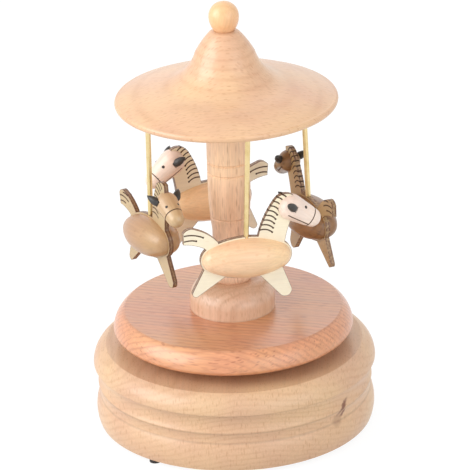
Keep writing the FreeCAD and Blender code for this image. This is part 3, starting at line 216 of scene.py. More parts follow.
class MusicBoxColours(bpy.types.PropertyGroup):
    """Colours of the woods, burnt lines, metals, rubber and felt."""

    base: tint("Base", "#dab38d", "Pale yellow beech of the base")
    base_grain: tint("Base grain", "#be8d65", "Growth rings and flecks of the base")
    knot: tint("Knot", "#6b3316", "Scars of the base's pin knot")
    platform: tint("Platform", "#dd9c6e", "Pink-brown beech of the platform")
    platform_grain: tint("Platform grain", "#a15d37", "Streaks of the platform")
    foot: tint("Post foot", "#ddb798", "Tan beech of the bun under the post")
    foot_grain: tint("Post foot grain", "#b68866", "Rings and dashes of the bun")
    post: tint("Post", "#f4ceac", "Pinkish beech of the post")
    post_grain: tint("Post grain", "#c79776", "Dark streaks of the post")
    canopy: tint("Canopy", "#e5b991", "Pale peach beech of the canopy")
    canopy_grain: tint("Canopy grain", "#c48b62", "Flecks and arcs of the canopy")
    ball: tint("Ball", "#f3c28f", "Honey-yellow wood of the ball")
    ball_grain: tint("Ball grain", "#e5a668", "Grain of the ball")
    cover: tint("Cover", "#d8b98c", "Birch plywood of the bottom cover")
    cover_grain: tint("Cover grain", "#b88f5e", "Grain of the bottom cover")
    light_plate: tint("Light plate", "#f9eed3", "Cream plywood of the front and back horses")
    light_plate_grain: tint("Light plate grain", "#ead0a8", "Grain of the cream plywood")
    light_flank: tint("Light flank", "#f4cda2", "Peach wood of the light horses' flanks")
    light_flank_grain: tint("Light flank grain", "#e5ac7a", "Grain of the light flanks")
    light_head: tint("Light head", "#f6e1d2", "Pinkish-white wood of the light heads")
    light_head_grain: tint("Light head grain", "#e6c4aa", "Grain of the light heads")
    tan_plate: tint("Tan plate", "#bfa67d", "Tan plywood of the left horse")
    tan_plate_grain: tint("Tan plate grain", "#9e7c53", "Grain of the left horse's plywood")
    tan_flank: tint("Tan flank", "#b89069", "Tan wood of the left horse's flanks")
    tan_flank_grain: tint("Tan flank grain", "#95693f", "Grain of the left horse's flanks")
    tan_head: tint("Tan head", "#c6a57d", "Tan wood of the left horse's head")
    tan_head_grain: tint("Tan head grain", "#a0754a", "Grain of the left horse's head")
    brown_plate: tint("Brown plate", "#bc9e71", "Brown plywood of the right horse")
    brown_plate_grain: tint("Brown plate grain", "#8f6c46", "Grain of the right horse's plywood")
    # The right horse's flanks and head: its own darker wood, and partly painted shade for the shade it
    # stands in
    brown_flank: tint("Brown flank", "#91693c", "Olive-brown wood of the right horse's flanks")
    brown_flank_grain: tint("Brown flank grain", "#5a3a1c", "Grain of the right horse's flanks")
    brown_head: tint("Brown head", "#92704a", "Brown wood of the right horse's head")
    brown_head_grain: tint("Brown head grain", "#5f4526", "Grain of the right horse's head")
    scorch: tint("Scorched edge", "#6f482e", "Edges of the plates, burnt by the cutter")
    stroke: tint("Burnt stroke", "#4d3420", "Mane, tail and bridle strokes")
    eye: tint("Eye", "#2e2620", "Burnt black of the eyes")
    ear: tint("Ear", "#3a3836", "Black stain of the ears")
    rod: tint("Rod", "#ecd6a2", "Pale satin brass of the rods")
    rod_tarnish: tint("Rod tarnish", "#d3b878", "Dull patches of the rods")
    brass: tint("Brass", "#d9b461", "Machined brass of the movement")
    brass_tarnish: tint("Brass tarnish", "#a67f3a", "Dull patches of the movement's brass")
    steel: tint("Steel", "#a9a9a7", "Brushed steel of the movement")
    steel_tarnish: tint("Steel tarnish", "#77746f", "Dull patches of the movement's steel")
    rubber: tint("Rubber", "#2b2624", "Black rubber of the feet")
    felt: tint("Felt", "#7d2a26", "Pressed felt of the washer")


class MusicBoxSizes(bpy.types.PropertyGroup):
    """Sizes of what is drawn on the horses, and strengths of the lights."""

    stroke_width: length("Stroke width", 0.52, "Width of a burnt stroke")
    stroke_rise: length("Stroke rise", 0.03, "How far a burnt stroke stands off the wood")
    scorch_width: length("Scorch width", 0.25, "How far the scorch runs in from a plate's edge")
    strap_width: length("Strap width", 0.4, "Width of the noseband and cheek strap")
    eye_radius: length("Eye radius", 0.66, "Radius of an eye")
    ear_length: length("Ear length", 5.8, "Length of an ear from its root")
    ear_radius: length("Ear radius", 1.6, "Radius of an ear where it is fullest")
    mane_strokes: IntProperty(name="Mane strokes", description="Strokes on each side of a mane", default=9,
                              min=2)
    key_power: power("Key light", 24.5, "Power of the large soft lamp at the left")
    fill_power: power("Fill light", 9.5, "Power of the lamp at the right")
    sheen_power: power("Sheen light", 1.9, "Power of the lamp behind")
    ambient: FloatProperty(name="Ambient", description="Strength of the light from all round", default=0.69)


def add(tree, kind, sockets=None, **settings):
    """Add a shader node with its settings, and its sockets' values or links."""
    made = tree.nodes.new("ShaderNode" + kind)
    for key, value in settings.items():
        setattr(made, key, value)
    for key, value in (sockets or {}).items():
        if isinstance(value, bpy.types.NodeSocket):
            tree.links.new(value, made.inputs[key])
        else:
            made.inputs[key].default_value = value
    return made


def blank(name):
    """A new material with its node tree and shader."""
    material = bpy.data.materials.new(name)
    material.use_nodes = True
    return material, material.node_tree, material.node_tree.nodes["Principled BSDF"]


def opaque(colour):
    """A colour with its alpha."""
    return (*colour, 1.0)


def surface(tree, shader, tone, rough, relief, strength, depth):
    """Link a colour, a roughness and a relief of this depth, in millimetres, to the shader."""
    bump = add(tree, "Bump", {"Strength": strength, "Distance": depth * MM, "Height": relief}).outputs[0]
    for socket, value in {"Base Color": tone, "Roughness": rough, "Normal": bump}.items():
        tree.links.new(value, shader.inputs[socket])


def in_millimetres(tree):
    """A piece's own coordinates in millimetres."""
    own = add(tree, "TexCoord").outputs["Object"]
    return add(tree, "Mapping", {"Vector": own, "Scale": (1 / MM,) * 3}).outputs[0]


def board(grain, outward, middle, depth):
    """Frame of a board, in millimetres: grain along Z, the tree's middle this deep behind it along Y."""
    w = Vector(grain).normalized()
    u = Vector(outward).cross(w).normalized()
    v = w.cross(u)
    turn = Matrix((u, v, w)).transposed().to_4x4()
    return Matrix.Translation((Vector(middle) - v * depth) * MM) @ turn


def growth_rings(tree, place, ring, rings, wander):
    """Growth rings this far apart, wandering a little: a thin dark line that fades into the pale wood."""
    # A wave texture at a scale of 1 repeats every tenth of pi
    year = add(tree, "TexWave", {
        "Vector": place,
        "Scale": 0.1 * math.pi / ring,
        "Distortion": wander,
        "Detail": 2.0,
        "Detail Scale": 0.25,
    }, wave_type="RINGS", rings_direction="Z", wave_profile="SIN").outputs["Fac"]
    line = add(tree, "Math", {0: year, 1: 3.0}, operation="POWER").outputs[0]
    # No two years are alike, so bands some 8 mm wide and 100 mm long make some lines strong, others faint
    band = add(tree, "VectorMath", {0: place, 1: (0.12, 0.12, 0.01)}, operation="MULTIPLY").outputs[0]
    season = add(tree, "TexNoise", {"Vector": band, "Scale": 1.0, "Detail": 1.0}).outputs[0]
    season = add(tree, "MapRange", {
        "Value": season, 1: 0.35, 2: 0.65, 3: 0.5 * rings, 4: 1.4 * rings,
    }).outputs[0]
    return add(tree, "Math", {0: line, 1: season}, operation="MULTIPLY").outputs[0]


def fibres(tree, place, thread):
    """Fibres this thick and 25 times as long. They are coarser than life, so that they show."""
    drawn = add(tree, "VectorMath", {0: place, 1: (1.0, 1.0, 0.04)}, operation="MULTIPLY").outputs[0]
    return add(tree, "TexNoise", {
        "Vector": drawn, "Scale": 1 / thread, "Detail": 4.0, "Roughness": 0.7,
    }).outputs[0]


def ray_dashes(tree, place, ray, share):
    """Rays, thin sheets out from the tree's middle: dashes along the grain, and lines on the end grain.

    They are drawn about half a millimetre thick or more, coarser than life, so that they show. The share
    says how many of them are dark.
    """
    scale = [1 / size for size in ray]
    cell = add(tree, "VectorMath", {0: place, 1: scale}, operation="MULTIPLY").outputs[0]
    cells = add(tree, "TexVoronoi", {"Vector": cell, "Scale": 1.0}).outputs
    spot = add(tree, "MapRange", {"Value": cells["Distance"], 1: 0.2, 2: 0.42, 3: 1.0, 4: 0.0}).outputs[0]
    lot = add(tree, "SeparateColor", {0: cells["Color"]}).outputs[0]
    kept = add(tree, "MapRange", {"Value": lot, 1: 0.0, 2: share, 3: 1.0, 4: 0.0}).outputs[0]
    return add(tree, "Math", {0: spot, 1: kept}, operation="MULTIPLY").outputs[0]


def paint_crease_shade(tree, own, levels, shade):
    """Paint a fine dark line of shade round the piece at each crease and where it meets another piece."""
    height = add(tree, "SeparateXYZ", {0: own}).outputs["Z"]
    for level in levels:
        off = add(tree, "Math", {0: height, 1: level * MM}, operation="SUBTRACT").outputs[0]
        off = add(tree, "Math", {0: off}, operation="ABSOLUTE").outputs[0]
        line = add(tree, "MapRange", {
            "Value": off, 1: CREASE_FULL * MM, 2: CREASE_FADED * MM, 3: CREASE_SHADE, 4: 1.0,
        }).outputs[0]
        shade = add(tree, "Math", {0: shade, 1: line}, operation="MULTIPLY").outputs[0]
    return shade


def pin_knot(tree, place, inverse, tone, brown):
    """Two brown scars that lean on the face where the pin knot comes out, and a stain below them."""
    turned = inverse.to_3x3()
    middle = turned @ Vector(KNOT_PLACE) + inverse.translation / MM
    along, across = turned @ Vector(KNOT_ALONG), turned @ Vector(KNOT_ACROSS)
    off = add(tree, "VectorMath", {0: place, 1: middle}, operation="SUBTRACT").outputs[0]
    waver = add(tree, "TexNoise", {"Vector": place, "Scale": 1.0, "Detail": 2.0}).outputs["Color"]
    waver = add(tree, "VectorMath", {0: waver, 1: (0.5,) * 3}, operation="SUBTRACT").outputs[0]
    off = add(tree, "VectorMath", {
        0: waver, 1: (KNOT_WAVER,) * 3, 2: off,
    }, operation="MULTIPLY_ADD").outputs[0]
    shares = [add(tree, "VectorMath", {0: off, 1: axis}, operation="DOT_PRODUCT").outputs[1]
              for axis in (across, along, along.cross(across))]
    lean = add(tree, "CombineXYZ", dict(enumerate(shares))).outputs[0]
    for (x, y), (wide, tall), strength in SCARS:
        near = add(tree, "VectorMath", {0: lean, 1: (x, y, 0)}, operation="SUBTRACT").outputs[0]
        near = add(tree, "VectorMath", {
            0: near, 1: (1 / wide, 1 / tall, 1 / KNOT_DEPTH),
        }, operation="MULTIPLY").outputs[0]
        near = add(tree, "VectorMath", {0: near}, operation="LENGTH").outputs["Value"]
        scar = add(tree, "MapRange", {"Value": near, 1: 0.5, 2: 1.1, 3: strength, 4: 0.0}).outputs[0]
        tone = add(tree, "Mix", {0: scar, 6: tone, 7: opaque(brown)}, data_type="RGBA").outputs[2]
    return tone


def scorched(tree, place, tone, burnt, even):
    """Burn a plate's edges: unevenly along the edge, and less on the middle ply than on the outer two."""
    edge = add(tree, "Attribute", attribute_name="scorch").outputs["Fac"]
    depth = add(tree, "SeparateXYZ", {0: place}).outputs["Y"]
    ply = add(tree, "Math", {0: depth, 1: PLATE_DEPTH}, operation="SUBTRACT").outputs[0]
    ply = add(tree, "Math", {0: ply}, operation="ABSOLUTE").outputs[0]
    # The plate has three plies of like thickness, with a soft line between them
    seam = PLATE_THICKNESS / 6
    ply = add(tree, "MapRange", {"Value": ply, 1: seam - 0.1, 2: seam + 0.1, 3: 0.68, 4: 1.0}).outputs[0]
    # Blotches just under a millimetre across
    blotch = add(tree, "TexNoise", {"Vector": place, "Scale": 1.1, "Detail": 2.0}).outputs[0]
    uneven = add(tree, "MapRange", {"Value": blotch, 1: 0.35, 2: 0.65, 3: even, 4: 1.3}).outputs[0]
    char = add(tree, "Math", {0: edge, 1: uneven}, operation="MULTIPLY").outputs[0]
    char = add(tree, "Math", {0: char, 1: ply}, operation="MULTIPLY", use_clamp=True).outputs[0]
    return add(tree, "Mix", {0: char, 6: tone, 7: opaque(burnt)}, data_type="RGBA").outputs[2]


def wood(name, pale, dark, blank_frame, ring, rings, wander=4.0, ray=(1.0, 4.0, 2.4), flecks=0.5, share=0.6,
         thread=0.7, lines=0.07, roughness=0.45, coat=0.4, creases=(), knot=None, burnt=None):
    """Turned or cut wood with the grain of its own blank, waxed to a satin sheen.

    The spacing of the rings, the cell that holds a ray and the thickness of a fibre (ring, ray and thread)
    are in millimetres. How strongly they show is given by rings, flecks and lines. The knot is given by its
    colour, and burnt is the colour of scorched edges and how even they are.
    """
    material, tree, shader = blank(name)
    inverse = blank_frame.inverted()
    sight = add(tree, "TexCoord").outputs
    place = add(tree, "Mapping", {
        "Vector": sight["Object"],
        "Scale": (1 / MM,) * 3,
        "Rotation": inverse.to_euler(),
        "Location": inverse.translation / MM,
    }).outputs[0]
    year = growth_rings(tree, place, ring, rings, wander)
    tone = add(tree, "Mix", {0: year, 6: opaque(pale), 7: opaque(dark)}, data_type="RGBA").outputs[2]
    dash = ray_dashes(tree, place, ray, share)
    fleck = add(tree, "Math", {0: dash, 1: flecks}, operation="MULTIPLY").outputs[0]
    tone = add(tree, "Mix", {0: fleck, 6: tone, 7: opaque(dark)}, data_type="RGBA").outputs[2]

    # Broad patches where the tree's colour drifts in lightness and hue
    patch = add(tree, "TexNoise", {"Vector": place, "Scale": 1 / COLOUR_PATCH, "Detail": 2.0}).outputs[0]
    drift = add(tree, "MapRange", {"Value": patch, **NOISE_SPAN, **DRIFT}).outputs[0]
    blush = add(tree, "MapRange", {"Value": patch, **NOISE_SPAN, **BLUSH}).outputs[0]
    fibre = fibres(tree, place, thread)
    streak = add(tree, "MapRange", {
        "Value": fibre, **NOISE_SPAN, 3: 1.0 - lines, 4: 1.0 + lines,
    }).outputs[0]
    shade = add(tree, "Math", {0: drift, 1: streak}, operation="MULTIPLY").outputs[0]
    # The end grain drinks more wax than the long grain, and is darker
    across = add(tree, "VectorMath", {
        0: sight["Normal"], 1: blank_frame.col[2].xyz,
    }, operation="DOT_PRODUCT").outputs[1]
    end = add(tree, "Math", {0: across, 1: across}, operation="MULTIPLY").outputs[0]
    wax = add(tree, "MapRange", {"Value": end, 3: 1.0, 4: END_GRAIN}).outputs[0]
    shade = add(tree, "Math", {0: shade, 1: wax}, operation="MULTIPLY").outputs[0]
    # Painted shade: a fine dark line round the piece at each crease and joint
    if creases:
        shade = paint_crease_shade(tree, sight["Object"], creases, shade)
    tone = add(tree, "HueSaturation", {"Hue": blush, "Value": shade, "Color": tone}).outputs[0]
    if knot:
        tone = pin_knot(tree, place, inverse, tone, knot)
    if burnt:
        tone = scorched(tree, place, tone, *burnt)

    rough = add(tree, "MapRange", {
        "Value": fibre, **NOISE_SPAN, 3: roughness - 0.06, 4: roughness + 0.1,
    }).outputs[0]
    relief = add(tree, "Math", {0: fibre, 1: dash}, operation="SUBTRACT").outputs[0]
    surface(tree, shader, tone, rough, relief, strength=0.12, depth=0.1)
    shader.inputs["Coat Weight"].default_value = coat
    shader.inputs["Coat Roughness"].default_value = COAT_ROUGHNESS
    return material


def metal(name, colour, tarnish, roughness, grit):
    """Drawn or machined metal: fine marks of this size, in millimetres, and tarnish in patches."""
    material, tree, shader = blank(name)
    place = in_millimetres(tree)
    marks = add(tree, "TexNoise", {"Vector": place, "Scale": 1 / grit, "Detail": 2.0}).outputs[0]
    patch = add(tree, "TexNoise", {"Vector": place, "Scale": 1 / TARNISH_PATCH, "Detail": 3.0}).outputs[0]
    worn = add(tree, "MapRange", {"Value": patch, 1: 0.4, 2: 0.7, 3: 0.0, 4: 0.6}).outputs[0]
    tone = add(tree, "Mix", {0: worn, 6: opaque(colour), 7: opaque(tarnish)}, data_type="RGBA").outputs[2]
    rough = add(tree, "MapRange", {
        "Value": marks, **NOISE_SPAN, 3: roughness - 0.06, 4: roughness + 0.08,
    }).outputs[0]
    surface(tree, shader, tone, rough, marks, strength=0.1, depth=0.05)
    shader.inputs["Metallic"].default_value = 1.0
    return material


def matt(name, colour, grit, roughness, rise):
    """Rubber, felt, stain or scorch: a dull skin, with a raised grain of this size in millimetres."""
    material, tree, shader = blank(name)
    place = in_millimetres(tree)
    grain = add(tree, "TexNoise", {
        "Vector": place, "Scale": 1 / grit, "Detail": 3.0, "Roughness": 0.6,
    }).outputs[0]
    shade = add(tree, "MapRange", {"Value": grain, **NOISE_SPAN, 3: 0.8, 4: 1.2}).outputs[0]
    tone = add(tree, "HueSaturation", {"Value": shade, "Color": opaque(colour)}).outputs[0]
    rough = add(tree, "MapRange", {
        "Value": grain, **NOISE_SPAN, 3: roughness - 0.05, 4: roughness + 0.1,
    }).outputs[0]
    surface(tree, shader, tone, rough, grain, strength=rise, depth=0.1)
    return material


def dress(node, material):
    """Give a solid of the frame its finish."""
    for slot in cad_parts[node].material_slots:
        slot.material = material


def piece(name, shape, material):
    """Turn a finished bmesh into a piece that rides on the carousel."""
    mesh = bpy.data.meshes.new(name)
    shape.to_mesh(mesh)
    shape.free()
    mesh.materials.append(material)
    made = bpy.data.objects.new(name, mesh)
    bpy.context.scene.collection.objects.link(made)
    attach(made, "carousel")
    return made


def horse_frame(side):
    """A horse's own frame: nose along X, up along Z, its middle at the origin."""
    angle = math.radians(ROD_ANGLE[side])
    seat = Vector((ROD_CIRCLE * math.cos(angle), ROD_CIRCLE * math.sin(angle), CANOPY_FLOOR)) * MM
    turned = (Matrix.Rotation(math.radians(ROD_ANGLE[side] + 90 + TURN[side]), 4, "Z")
              @ Matrix.Rotation(math.radians(LEAN[side]), 4, "Y"))
    middle = seat - turned @ Vector((0, 0, DROP[side] * MM))
    return Matrix.Translation(middle) @ turned @ Matrix.Rotation(math.radians(NOD[side]), 4, "Y")


def head_frame(side):
    """A head's own frame: along its axis to the muzzle from the middle of the skull."""
    spot = Vector((SKULL_X, 0, SKULL_Z - HEAD_DROP[side])) * MM
    nod = Matrix.Rotation(math.radians(HEAD_ANGLE[side]), 4, "Y")
    return horse_frame(side) @ Matrix.Translation(spot) @ nod


def solid_copy(node):
    """A merged copy of a solid's mesh."""
    shape = bmesh.new()
    shape.from_mesh(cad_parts[node].data)
    bmesh.ops.remove_doubles(shape, verts=shape.verts, dist=SOLID_WELD * MM)
    return shape


def lathe(shape, outline, steps, place):
    """Spin a half outline, given as radius and height, into a round form at its place."""
    line = [shape.verts.new((radius, 0, height)) for radius, height in outline]
    edges = [shape.edges.new(pair) for pair in zip(line, line[1:])]
    bmesh.ops.spin(shape, geom=[*line, *edges], cent=(0, 0, 0), axis=(0, 0, 1), angle=2 * math.pi,
                   steps=steps, use_merge=True)
    # What was spun before is tagged, and stays where it is
    fresh = [vert for vert in shape.verts if not vert.tag]
    bmesh.ops.transform(shape, matrix=place, verts=fresh)
    for vert in shape.verts:
        vert.tag = True


def seen_plainly(tree):
    """1 for what the camera sees, also mirrored or through glass, and 0 for light that falls on things."""
    path = add(tree, "LightPath").outputs
    seen = add(tree, "Math", {
        0: path["Is Camera Ray"], 1: path["Is Glossy Ray"],
    }, operation="MAXIMUM").outputs[0]
    return add(tree, "Math", {0: seen, 1: path["Is Transmission Ray"]}, operation="MAXIMUM").outputs[0]


class MUSICBOX_OT_stage(bpy.types.Operator):
    """Set the camera, the soft lamps, the white surround and the floor"""

    bl_idname = "musicbox.stage"
    bl_label = "Stage"

    def execute(self, context):
        scene = context.scene
        sizes = scene.music_box_sizes
        scene.view_settings.view_transform = "Standard"

        eye, aim = Vector(CAMERA_EYE), Vector(CAMERA_AIM)
        roll = Quaternion((0, 0, 1), math.radians(CAMERA_ROLL))
        camera = bpy.data.objects.new("camera", bpy.data.cameras.new("camera"))
        camera.data.lens = CAMERA_LENS
        camera.data.sensor_width = CAMERA_SENSOR
        camera.data.clip_start = CAMERA_NEAR
        camera.location = eye
        camera.rotation_euler = ((aim - eye).to_track_quat("-Z", "Y") @ roll).to_euler()
        scene.collection.objects.link(camera)
        scene.camera = camera

        # A large soft lamp at the left, a weaker one at the right, and one behind for a sheen on level tops
        for name, (spot, width) in LAMPS.items():
            lamp = bpy.data.lights.new(name, "AREA")
            lamp.energy = getattr(sizes, name + "_power")
            lamp.size = width
            holder = bpy.data.objects.new(name, lamp)
            holder.location = spot
            holder.rotation_euler = (aim - holder.location).to_track_quat("-Z", "Y").to_euler()
            scene.collection.objects.link(holder)

        # Soft light from all round, and plain white wherever it is seen
        world = bpy.data.worlds.new("white surround")
        scene.world = world
        world.use_nodes = True
        tree = world.node_tree
        strength = add(tree, "MapRange", {"Value": seen_plainly(tree), 3: sizes.ambient, 4: 1.0}).outputs[0]
        surround = tree.nodes["Background"]
        surround.inputs["Color"].default_value = WHITE
        tree.links.new(strength, surround.inputs["Strength"])

        shape = bmesh.new()
        bmesh.ops.create_grid(shape, x_segments=8, y_segments=8, size=FLOOR_REACH)
        mesh = bpy.data.meshes.new("floor")
        shape.to_mesh(mesh)
        shape.free()
        floor = bpy.data.objects.new("floor", mesh)
        scene.collection.objects.link(floor)
        # Matt white paper: as white as the surround, with the object's soft shadow on it
        material, tree, shader = blank("white paper sweep")
        shader.inputs["Base Color"].default_value = opaque((PAPER_GREY,) * 3)
        shader.inputs["Roughness"].default_value = 0.9
        share = add(tree, "Math", {0: seen_plainly(tree), 1: GLOW_SHARE}, operation="MULTIPLY").outputs[0]
        glow = add(tree, "Emission", {"Color": WHITE, "Strength": PAPER_GLOW}).outputs[0]
        mixed = add(tree, "MixShader", {0: share, 1: shader.outputs[0], 2: glow}).outputs[0]
        tree.links.new(mixed, tree.nodes["Material Output"].inputs["Surface"])
        mesh.materials.append(material)
        return {"FINISHED"}


class MUSICBOX_OT_turned_wood(bpy.types.Operator):
    """Finish the base, platform, post, canopy and ball as turned wood, each with its own grain"""

    bl_idname = "musicbox.turned_wood"
    bl_label = "Turned wood"

    def execute(self, context):
        c = context.scene.music_box_colours
        # Pale and yellow: end grain to the front, where rays stand as fine upright dashes, and a pin knot
        # at the right
        dress("base_shell", wood(
            "pale beech, turned and waxed", c.base, c.base_grain,
            board((0.03, 1, 0), (0, 0, 1), (8, 0, 20), 90), ring=2.0, rings=0.2, wander=9.0,
            ray=(0.75, 3.0, 2.0), flecks=0.5, share=1.1, creases=SHADED_CREASES["base_shell"], knot=c.knot))
        # Pink-brown and glossier: dark streaks from left to right that slant down the lip, and a pale sheen
        # towards the back
        dress("platform", wood(
            "pink beech, turned and lacquered", c.platform, c.platform_grain,
            board((1, -0.3, 0), (0.28, 0.93, 0.55), (0, 0, 42), 160), ring=2.2, rings=0.3, wander=9.0,
            ray=(0.5, 1.6, 5.0), flecks=0.6, share=0.9, thread=1.5, lines=0.14, roughness=0.4, coat=0.8,
            creases=SHADED_CREASES["platform"]))
        # Tan: upright dashes and an arched figure at the shoulder
        dress("post_foot", wood(
            "tan beech, turned and waxed", c.foot, c.foot_grain,
            board((0.04, 0, 1), (0.4, -0.9, 0), (0, 0, 50), 34), ring=2.2, rings=0.22,
            ray=(0.55, 2.0, 3.2), flecks=0.5, share=1.1, coat=0.6, creases=SHADED_CREASES["post_foot"]))
        # Pinkish: dark upright streaks
        dress("post", wood(
            "pinkish beech, turned and waxed", c.post, c.post_grain,
            board((0.02, 0, 1), (-0.4, -0.9, 0), (0, 0, 90), 30), ring=3.0, rings=0.2,
            ray=(0.7, 2.0, 5.0), flecks=0.6, share=1.1, thread=0.6, lines=0.13))
        # Peach: dense short flecks from left to right, and soft arcs round the bell
        dress("canopy", wood(
            "peach beech, turned and waxed", c.canopy, c.canopy_grain,
            board((1, 0.03, 0), (0.02, -0.04, 1), (0, 0, 140.2), 401.6), ring=3.2, rings=0.19, wander=2.0,
            ray=(0.62, 3.0, 2.6), flecks=0.5, share=1.2, thread=0.7, lines=0.06, coat=0.6,
            creases=SHADED_CREASES["canopy"]))
        # Honey yellow: plain, close-grained and shiny
        dress("finial_ball", wood(
            "honey boxwood, turned and polished", c.ball, c.ball_grain,
            board((0.2, 0, 1), (0, -1, 0), (0, 0, 166), 12), ring=2.0, rings=0.2, flecks=0.2, share=0.3,
            roughness=0.36, coat=0.5, creases=SHADED_CREASES["finial_ball"]))
        return {"FINISHED"}


class MUSICBOX_OT_underside(bpy.types.Operator):
    """Finish the plywood cover, the rubber feet and the felt washer"""

    bl_idname = "musicbox.underside"
    bl_label = "Underside"

    def execute(self, context):
        c = context.scene.music_box_colours
        # Sanded plywood: pale and dull, with a broad plain figure
        dress("bottom_cover", wood(
            "birch plywood, sanded", c.cover, c.cover_grain, board((1, 0, 0), (0, 0, 1), (0, 0, 3), 200),
            ring=3.0, rings=0.3, roughness=0.6))
        # Moulded rubber: black, dull, with a fine pebble
        dress("rubber_feet", matt("black rubber, moulded", c.rubber, grit=0.3, roughness=0.7, rise=0.3))
        # Pressed wool: a deep red fuzz
        dress("felt_washer", matt("red felt, pressed", c.felt, grit=0.15, roughness=0.9, rise=0.6))
        return {"FINISHED"}


class MUSICBOX_OT_metals(bpy.types.Operator):
    """Finish the rods and the works of the movement"""

    bl_idname = "musicbox.metals"
    bl_label = "Rods and movement"

    def execute(self, context):
        c = context.scene.music_box_colours
        # Drawn rod, lightly brushed: pale gold with a soft highlight down its length
        rod = metal("brass rod, brushed", c.rod, c.rod_tarnish, roughness=0.32, grit=0.2)
        for side in SIDES:
            dress(f"{side}_rod", rod)
        # Cut wheels and plates: a stronger yellow with fine tool marks
        brass = metal("brass, machined", c.brass, c.brass_tarnish, roughness=0.3, grit=0.15)
        for node in BRASS_NODES:
            dress(node, brass)
        # Ground and tempered steel: cool grey
        steel = metal("steel, brushed", c.steel, c.steel_tarnish, roughness=0.36, grit=0.12)
        for node in STEEL_NODES:
            dress(node, steel)
        return {"FINISHED"}


class MUSICBOX_OT_horse_bodies(bpy.types.Operator):
    """Finish the horses' turned flanks and heads"""

    bl_idname = "musicbox.horse_bodies"
    bl_label = "Horse flanks and heads"

    def execute(self, context):
        c = context.scene.music_box_colours
        lengthways = board((1, 0, 0), (0, 1, 0.6), (0, 0, 0), 26)
        for side in SIDES:
            tone = WOODS[side]
            # Turned and waxed: a smooth egg with faint lines along it, which show more on the brown one
            dress(f"{side}_horse_flanks", wood(
                f"{STAIN[tone]} lime wood flank, turned and waxed, {side}", getattr(c, tone + "_flank"),
                getattr(c, tone + "_flank_grain"), horse_frame(side) @ lengthways, ring=2.4,
                rings=FIGURE[tone], flecks=FIGURE[tone] * 2, share=0.5, lines=0.09, roughness=0.4))
            # Turned and waxed: almost plain, with a soft highlight on the brow
            dress(f"{side}_horse_head", wood(
                f"{STAIN[tone]} lime wood head, turned and waxed, {side}", getattr(c, tone + "_head"),
                getattr(c, tone + "_head_grain"), head_frame(side) @ lengthways, ring=2.5, rings=0.2,
                flecks=0.2, share=0.3, roughness=0.38))
        return {"FINISHED"}


class MUSICBOX_OT_horse_plates(bpy.types.Operator):
    """Cut the horses' plywood plates, with edges scorched by the cutter"""

    bl_idname = "musicbox.horse_plates"
    bl_label = "Horse plates"

    def execute(self, context):
        c = context.scene.music_box_colours
        sizes = context.scene.music_box_sizes
        for side in SIDES:
            node = f"{side}_horse_plate"
            shape = solid_copy(node)
            bmesh.ops.dissolve_limit(shape, angle_limit=math.radians(FLAT_BEND), verts=shape.verts,
                                     edges=shape.edges)
            scorch = shape.verts.layers.float.new("scorch")
            for vert in shape.verts:
                vert[scorch] = 1.0
            # The two flat sides, without the small faces of the rod's grooves
            across = horse_frame(side).to_3x3() @ Vector((0, 1, 0))
            faces = [face for face in shape.faces
                     if abs(face.normal.dot(across)) > FLAT_SQUARE
                     and face.calc_area() > FLAT_AREA * MM ** 2]
            if not faces:
                raise RuntimeError("no flat face found on " + node)
            bmesh.ops.inset_individual(shape, faces=faces, thickness=sizes.scorch_width,
                                       use_even_offset=True)
            for face in faces:
                for vert in face.verts:
                    vert[scorch] = 0.0
            tone = WOODS[side]
            sheet = horse_frame(side) @ board((1, 0, 0), (0, 1, 0), (0, 0, 0), PLATE_DEPTH)
            # Plywood cut by burning: plain flat sides within a dark edge that shows its plies
            material = wood(
                f"{STAIN[tone]} birch plywood, cut by burning, {side}", getattr(c, tone + "_plate"),
                getattr(c, tone + "_plate_grain"), sheet, ring=5.0, rings=0.15, flecks=0.2, share=0.3,
                lines=0.04, roughness=0.55, burnt=(c.scorch, EVEN[tone]))
            made = piece(f"{side}_plate", shape, material)
            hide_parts(node)
        return {"FINISHED"}


def stroke(shape, start, heading, run, bend, width):
    """Burn one arc: a short edge swept round the arc's middle, with a dot where the tool lifts."""
    inward = Vector((math.sin(heading), 0, -math.cos(heading)))
    ends = [shape.verts.new(start + inward * width * share) for share in (0.5, -0.5)]
    line = shape.edges.new(ends)
    middle = start + inward * run / bend
    bmesh.ops.spin(shape, geom=[*ends, line], cent=middle, axis=(0, 1, 0), angle=bend, steps=STROKE_STEPS,
                   use_duplicate=False)
    tip = middle + Matrix.Rotation(bend, 3, "Y") @ (start - middle)
    lie = Matrix.Translation(tip) @ Matrix.Rotation(math.radians(90), 4, "X")
    bmesh.ops.create_circle(shape, cap_ends=True, segments=DOT_SIDES, radius=width * DOT_SHARE, matrix=lie)


def on_arc(start, end, radius, run):
    """Point this far along an arc that bulges to the left of its way, and the way out of it there."""
    start, end = Vector((start[0], 0, start[1])), Vector((end[0], 0, end[1]))
    way = end - start
    left = Vector((-way.z, 0, way.x)).normalized()
    middle = (start + end) / 2 - left * math.sqrt(radius ** 2 - way.length_squared / 4)
    outward = Matrix.Rotation(run / radius, 3, "Y") @ (start - middle).normalized()
    return middle + outward * radius, outward


def mane_edge(run):
    """Point this far up the back of the neck and over its crest, and the way out of the plate there."""
    chord = math.dist(NECK_BACK, CREST)
    back = 2 * NECK_ROUND * math.asin(chord / 2 / NECK_ROUND)
    if run < back:
        return on_arc(NECK_BACK, CREST, NECK_ROUND, run)
    return on_arc(CREST, FORELOCK, CREST_ROUND, run - back)


def between(ends, share):
    """The value that lies this share of the way from the first to the second."""
    return ends[0] + (ends[1] - ends[0]) * share


def mane_starts(sizes):
    """Where the mane's strokes start, from low on the neck to its crest, and how far up each one is."""
    for number in range(sizes.mane_strokes):
        share = number / (sizes.mane_strokes - 1)
        yield *mane_edge(between(MANE_RUN, share)), share


